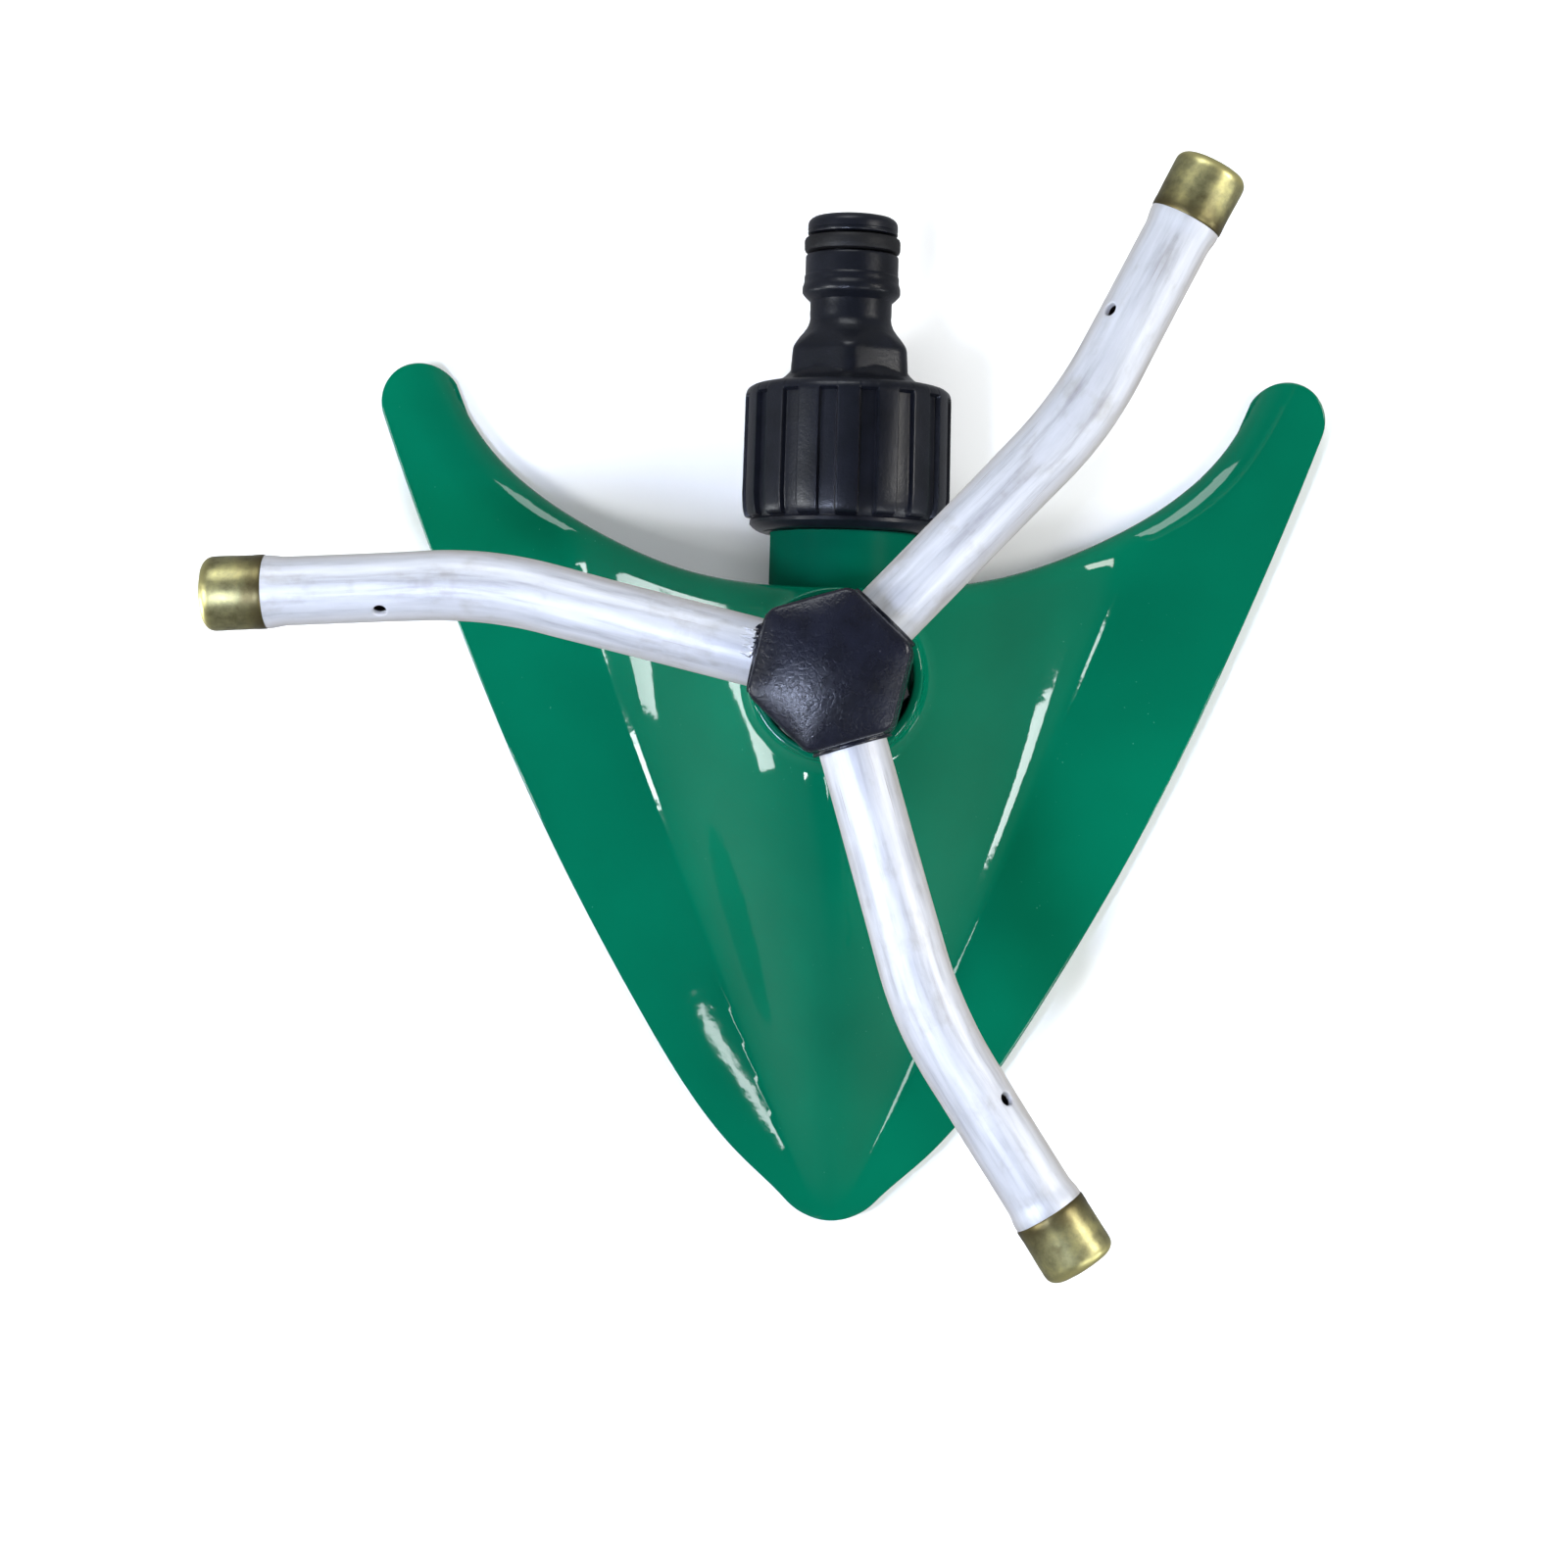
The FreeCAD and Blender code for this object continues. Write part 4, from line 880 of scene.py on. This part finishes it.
def make_collar(number):
    """The hub's moulded socket rim round each tube."""
    profile = rounded([(5.72, 12.1), (6.7, 12.1), (6.7, 12.75), (5.72, 12.75)], 0.25)
    points, faces = lathe(profile, even_angles(72))
    lay = (Matrix.Translation((0, 0, ARM_HEIGHT))
           @ Matrix.Rotation(math.radians(arm_heading(number)), 4, "Z")
           @ Matrix.Rotation(math.pi / 2, 4, "Y"))
    points = [tuple(lay @ Vector(p)) for p in points]
    add_mesh(f"socket_rim_{number}", points, faces, hub_black, "rotor")


def make_shards(name, count, angles, starts, lengths, widths, lifts, material):
    """Small torn flakes that lie on the second arm where it enters the hub."""
    source = np.random.default_rng(count)
    points, faces, along, around = [], [], [], []
    wobble = make_wobble(2)
    heading = arm_heading(2)
    for number in range(count):
        even = angles[0] + (angles[1] - angles[0]) * number / (count - 1)
        angle = math.radians(even + source.uniform(-2, 2))
        near = source.uniform(*starts)
        length = source.uniform(*lengths)
        width = math.radians(source.uniform(*widths))
        lift = source.uniform(*lifts)
        skew = width * source.uniform(-1.5, 1.5)
        first = len(points)
        corners = ((0, -1, 0), (0, 1, 0), (length, -0.3, 0), (length, 0.3, 0),
                   (0.1 * length, -0.5, lift), (0.15 * length, 0.6, lift * 0.8),
                   (0.6 * length, 0.1, lift * 0.8))
        for distance, side, grow in corners:
            sideways = angle + side * width + skew * distance / length
            points.append(tube_point(near + distance, sideways, heading, wobble, grow - 0.04))
            along.append(near + distance)
            around.append(TUBE * abs(angle))
        for face in ((0, 4, 5, 1), (0, 2, 6, 4), (1, 5, 6, 3), (4, 6, 5), (2, 3, 6), (0, 1, 3, 2)):
            faces.append(tuple(first + i for i in face))
    add_mesh(name, points, faces, material, "rotor",
             layers={"along": along, "around": around, "seed": [2.2] * len(points)})


def make_torn_entry():
    """Curls scraped off one tube as it was pushed in, and the hub's own torn edge."""
    make_shards("swarf", 10, (-34, 6), (12.7, 13.1), (1.4, 3.4), (4.0, 7.0), (0.25, 0.6),
                aluminium)
    make_shards("torn_edge", 6, (-44, -6), (12.5, 12.7), (0.8, 1.7), (3.0, 6.0), (0.7, 1.1),
                hub_black)


# ---------------------------------------------------------------- hose connector

RIBS = 16
RIB_PITCH = 360 / RIBS
RIB_HALF = 5.9
RIB_TURN = 2.2
SKIRT_END = 52.0
CONE_END = 64.3

# Pairs of station along the pipe and half width: across the hexagon's flats, and of the
# cone that trims its corners.
HEXAGON_HALF = [(52.0, 10.4), (54.4, 10.3), (57.8, 10.08), (58.4, 9.95), (59.2, 9.55),
                (60.3, 8.9), (61.2, 8.32), (62.2, 7.66), (63.2, 7.32), (64.2, 7.25)]
HEXAGON_CONE = [(52.0, 12.0), (57.0, 11.8), (58.4, 11.1), (59.5, 10.05), (60.4, 9.15),
                (61.1, 8.45), (62.2, 7.7), (63.2, 7.33), (64.2, 7.25)]

# Pairs of radius and station.
SHOULDER = [(18.17, 49.4), (18.16, 49.55), (18.15, 49.65), (18.14, 49.75), (18.12, 49.9),
            (18.05, 50.3), (17.85, 50.75), (17.5, 51.15), (17.0, 51.45), (16.3, 51.68),
            (15.4, 51.86), (14.6, 51.98), (13.8, 52.14), (13.0, 52.36), (12.3, 52.65),
            (11.8, 52.95), (11.3, 53.35), (10.95, 53.75), (10.6, 54.1), (10.45, 54.35)]
SPIGOT = [(7.25, 64.6), (7.25, 65.2), (7.25, 66.4), (7.3, 66.9), (7.5, 67.05), (8.1, 67.6),
          (8.5, 68.05), (8.66, 68.3), (8.7, 68.7), (8.7, 69.2), (8.64, 69.55), (8.5, 69.9),
          (8.42, 70.2), (8.4, 70.6), (8.4, 71.2), (8.36, 71.35), (8.27, 71.45), (8.25, 71.7),
          (8.25, 74.7), (8.2, 74.98), (8.08, 75.12), (7.8, 75.18), (6.15, 75.22), (6.12, 78.7),
          (7.6, 78.78), (7.92, 78.86), (8.0, 79.05), (8.0, 79.2), (7.86, 79.32), (7.86, 79.5),
          (8.0, 79.62), (8.0, 80.5), (7.93, 80.9), (7.72, 81.3), (7.4, 81.62), (7.0, 81.85),
          (6.5, 81.97), (6.0, 81.98), (5.6, 81.9), (5.4, 81.7), (5.4, 81.0)]
BORE = [(5.4, 81.0), (5.4, 54.0), (9.6, 45.5), (9.6, 44.0), (13.28, 44.0), (13.28, 25.6)]


def rib_angles():
    """Angles that crowd towards the ribs' flanks."""
    half = [1.8, 3.6, 4.9, 5.6, 6.0, 6.35, 6.7, 7.2, 8.2, 9.6]
    pattern = [-RIB_PITCH / 2, *(-a for a in reversed(half)), 0, *half]
    return [math.radians(RIB_PITCH * k + RIB_TURN + a) for k in range(RIBS) for a in pattern]


def connector_reach(radius, height, angle):
    """Outer radius: ribs on the skirt, a hexagon before the neck, round elsewhere."""
    if height < SKIRT_END:
        half = RIB_PITCH / 2
        folded = abs((math.degrees(angle) - RIB_TURN + half) % RIB_PITCH - half)
        rib = 1 - float(smoothstep(RIB_HALF, RIB_HALF + 0.9, folded))
        rib *= float(smoothstep(27.95, 28.35, height))
        pocket = (1 - rib) * float(smoothstep(27.2, 28.0, height))
        pocket *= 1 - float(smoothstep(49.4, 49.9, height))
        return radius + rib * 0.05 - pocket * 0.95
    if height <= CONE_END:
        flats = np.interp(height, *zip(*HEXAGON_HALF)) * 2
        cone = np.interp(height, *zip(*HEXAGON_CONE))
        reach = hexagon_reach(flats, angle - math.radians(RIB_TURN), 0.5)
        soft = 0.3
        gap = np.clip(0.5 + 0.5 * (cone - reach) / soft, 0, 1)
        body = cone * (1 - gap) + reach * gap - soft * gap * (1 - gap)
        return max(body, radius)
    return radius


def connector_profile():
    """Radius and station pairs from the rim to the spigot's nose."""
    low = [(13.32, 25.6), (13.6, 25.45)]
    for step in range(1, 9):
        angle = math.radians(-90 + 9 * step)
        low.append((13.9 + 4.3 * math.cos(angle), 30.6 + 5.15 * math.sin(angle)))
    for station in (27.7, 27.95, 28.05, 28.15, 28.25, 28.4, 28.8, 29.3, 29.9):
        low.append((13.9 + 4.3 * math.sqrt(1 - ((30.6 - station) / 5.15) ** 2), station))
    profile = sorted(low, key=lambda pair: pair[1])
    profile += [(18.2, 30.6)]
    profile += [(18.32 - 0.012 * i, 30.6 + 18.6 * i / 12) for i in range(1, 13)]
    profile += SHOULDER
    profile += [(7.2, 54.6 + 0.35 * i) for i in range(28)]
    return profile + SPIGOT


def add_on_pipe(name, turned, material, replaces=()):
    """A turned shape laid along the inlet pipe, on the connector."""
    points, faces = turned
    laid = [(x, z, PIPE_HEIGHT - y) for x, y, z in points]
    add_mesh(name, laid, [face[::-1] for face in faces], material, "connector", replaces)


def make_connector():
    add_on_pipe("connector", lathe(connector_profile(), rib_angles(), connector_reach),
                connector_black, ["hose_connector"])
    add_on_pipe("connector_bore", lathe(rounded(BORE, 0.15), even_angles(96)),
                connector_black)
    ring = []
    for step in range(25):
        angle = 2 * math.pi * step / 24
        across, along = math.cos(angle), math.sin(angle)
        squareness = (across ** 4 + along ** 4) ** -0.25
        ring.append((7.33 + 1.2 * squareness * across, 76.95 + 1.4 * squareness * along))
    add_on_pipe("spigot_ring", lathe(ring, even_angles(96)), rubber,
                ["spigot_o_ring"])


# ---------------------------------------------------------------- the rest of the CAD pieces

CAD_FINISHES = (
    ("inlet_elbow", green_satin, "green_paint"),
    ("elbow_screws", zinc, "zinc_steel"),
    ("bearing_nut", nut_black, "black_plastic"),
    ("bearing_seal", rubber, "black_rubber"),
    ("lower_thrust_washer", nylon, "white_nylon"),
    ("upper_thrust_washer", nylon, "white_nylon"),
    ("spindle", spindle_brass, "brass"),
    ("spindle_o_ring", rubber, "black_rubber"),
    ("connector_washer", rubber, "black_rubber"),
)


def finish_cad_piece(name, material, slot):
    """Keeps the CAD's own surface and gives it a finish."""
    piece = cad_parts[name]
    piece.data.materials.clear()
    piece.data.materials.append(material)


make_shell_skin()
make_shell_inside()
make_ring_and_posts()
for arm in ARMS:
    make_arm(arm)
    make_end_cap(arm)
make_hub()
for arm in ARMS:
    make_collar(arm)
make_torn_entry()
make_connector()
for finish in CAD_FINISHES:
    finish_cad_piece(*finish)

# ---------------------------------------------------------------- stage, light and camera

COOL = (0.93, 0.97, 1.0)
WARM = (1.0, 0.98, 0.94)

# Soft boxes round the object: zenith and bearing in degrees, distance, width and height in
# metres, power in watts and colour. Each of the small ones makes one streak on the enamel.
LAMPS = (
    ("left_fill", 50, -172, 0.9, 0.18, 0.18, 3.8, COOL),
    ("left_strip", 47, -158.6, 0.9, 0.04, 0.22, 1.6, COOL),
    ("left_nose", 26.5, -128, 1.0, 0.17, 0.026, 0.4, COOL),
    ("right_low", 79, -21.5, 0.9, 0.11, 0.17, 1.8, COOL),
    ("right_spark", 38, -16.5, 1.0, 0.035, 0.10, 0.35, COOL),
    ("right_nose", 45, -39, 1.0, 0.12, 0.40, 3.0, COOL),
    ("right_wall", 57, 14, 0.73, 0.16, 0.20, 2.7, WARM),
    ("rear", 54, 100, 1.0, 0.6, 0.24, 4.8, COOL),
)


def make_floor(reach=6.0):
    """A pale floor that the gloss paint doesn't mirror."""
    mesh = bpy.data.meshes.new("floor")
    corners = [(-reach, -reach, 0), (reach, -reach, 0), (reach, reach, 0), (-reach, reach, 0)]
    mesh.from_pydata(corners, [], [(0, 1, 2, 3)])
    material, tree, shader = new_material("floor_white")
    feed_all(tree, shader, {
        "Base Color": ramp(tree, noise(tree, place(tree), 3, 2), [(0.3, 0.94), (0.7, 0.96)]),
        "Roughness": 0.9,
        "Specular IOR Level": 0.1})
    mesh.materials.append(material)
    floor = bpy.data.objects.new("floor", mesh)
    floor.visible_glossy = False
    scene.collection.objects.link(floor)


def add_light(name, place_at, aim, width, height, power, colour):
    light = bpy.data.lights.new(name, "AREA")
    light.shape = "RECTANGLE"
    light.size = width
    light.size_y = height
    light.energy = power
    light.color = colour
    lamp = bpy.data.objects.new(name, light)
    lamp.location = place_at
    lamp.rotation_euler = (Vector(aim) - Vector(place_at)).to_track_quat("-Z", "Y").to_euler()
    lamp.visible_camera = False
    scene.collection.objects.link(lamp)


def add_lamp(name, zenith, bearing, distance, width, height, power, colour):
    """A soft box that faces the object from a zenith angle and a compass bearing in degrees."""
    tilt, turn = math.radians(zenith), math.radians(bearing)
    away = Vector((math.sin(tilt) * math.cos(turn), math.sin(tilt) * math.sin(turn),
                   math.cos(tilt)))
    add_light(name, away * distance, (0, 0, 0.02), width, height, power, colour)


def make_light():
    """A dark ceiling, grey walls, the soft boxes, and two small lights for the cap and an arm."""
    world = bpy.data.worlds.new("studio")
    world.use_nodes = True
    tree = world.node_tree
    towards = node(tree, "ShaderNodeTexCoord").outputs["Generated"]
    height = node(tree, "ShaderNodeSeparateXYZ", Vector=towards).outputs["Z"]
    sky = ramp(tree, height, [(0.0, (0.38, 0.39, 0.41)), (0.5, (0.32, 0.33, 0.35)),
                              (0.76, (0.06, 0.065, 0.07))])
    feed_all(tree, tree.nodes["Background"], {"Color": sky, "Strength": 1.0})
    scene.world = world
    for lamp in LAMPS:
        add_lamp(*lamp)
    add_light("cap_glow", (-0.101, -0.067, 0.349), (0, 0, 0.075), 0.05, 0.05, 0.75,
              (0.64, 0.73, 1.0))
    add_light("left_card", (-0.25, -0.045, 0.028), (0, -0.01, 0.028), 0.06, 0.05, 0.2, COOL)


def make_camera():
    """Looks down from over the hub, a little to the right, as the object is usually shown."""
    camera = bpy.data.cameras.new("camera")
    camera.sensor_width = 36.0
    camera.lens = 74.1105
    camera.shift_x = -0.04375
    camera.shift_y = -0.125
    camera.clip_start = 0.01
    camera.clip_end = 20
    holder = bpy.data.objects.new("camera", camera)
    to_camera = (Matrix.Rotation(-0.024737, 3, "Z") @ Matrix.Rotation(-0.032588, 3, "Y")
                 @ Matrix.Rotation(-0.057332, 3, "X"))
    stand = Matrix.Translation((0.020194, -0.016449, 0.588771))
    holder.matrix_world = stand @ to_camera.transposed().to_4x4()
    scene.collection.objects.link(holder)
    scene.camera = holder


make_floor()
make_light()
make_camera()
scene.view_settings.view_transform = "Standard"
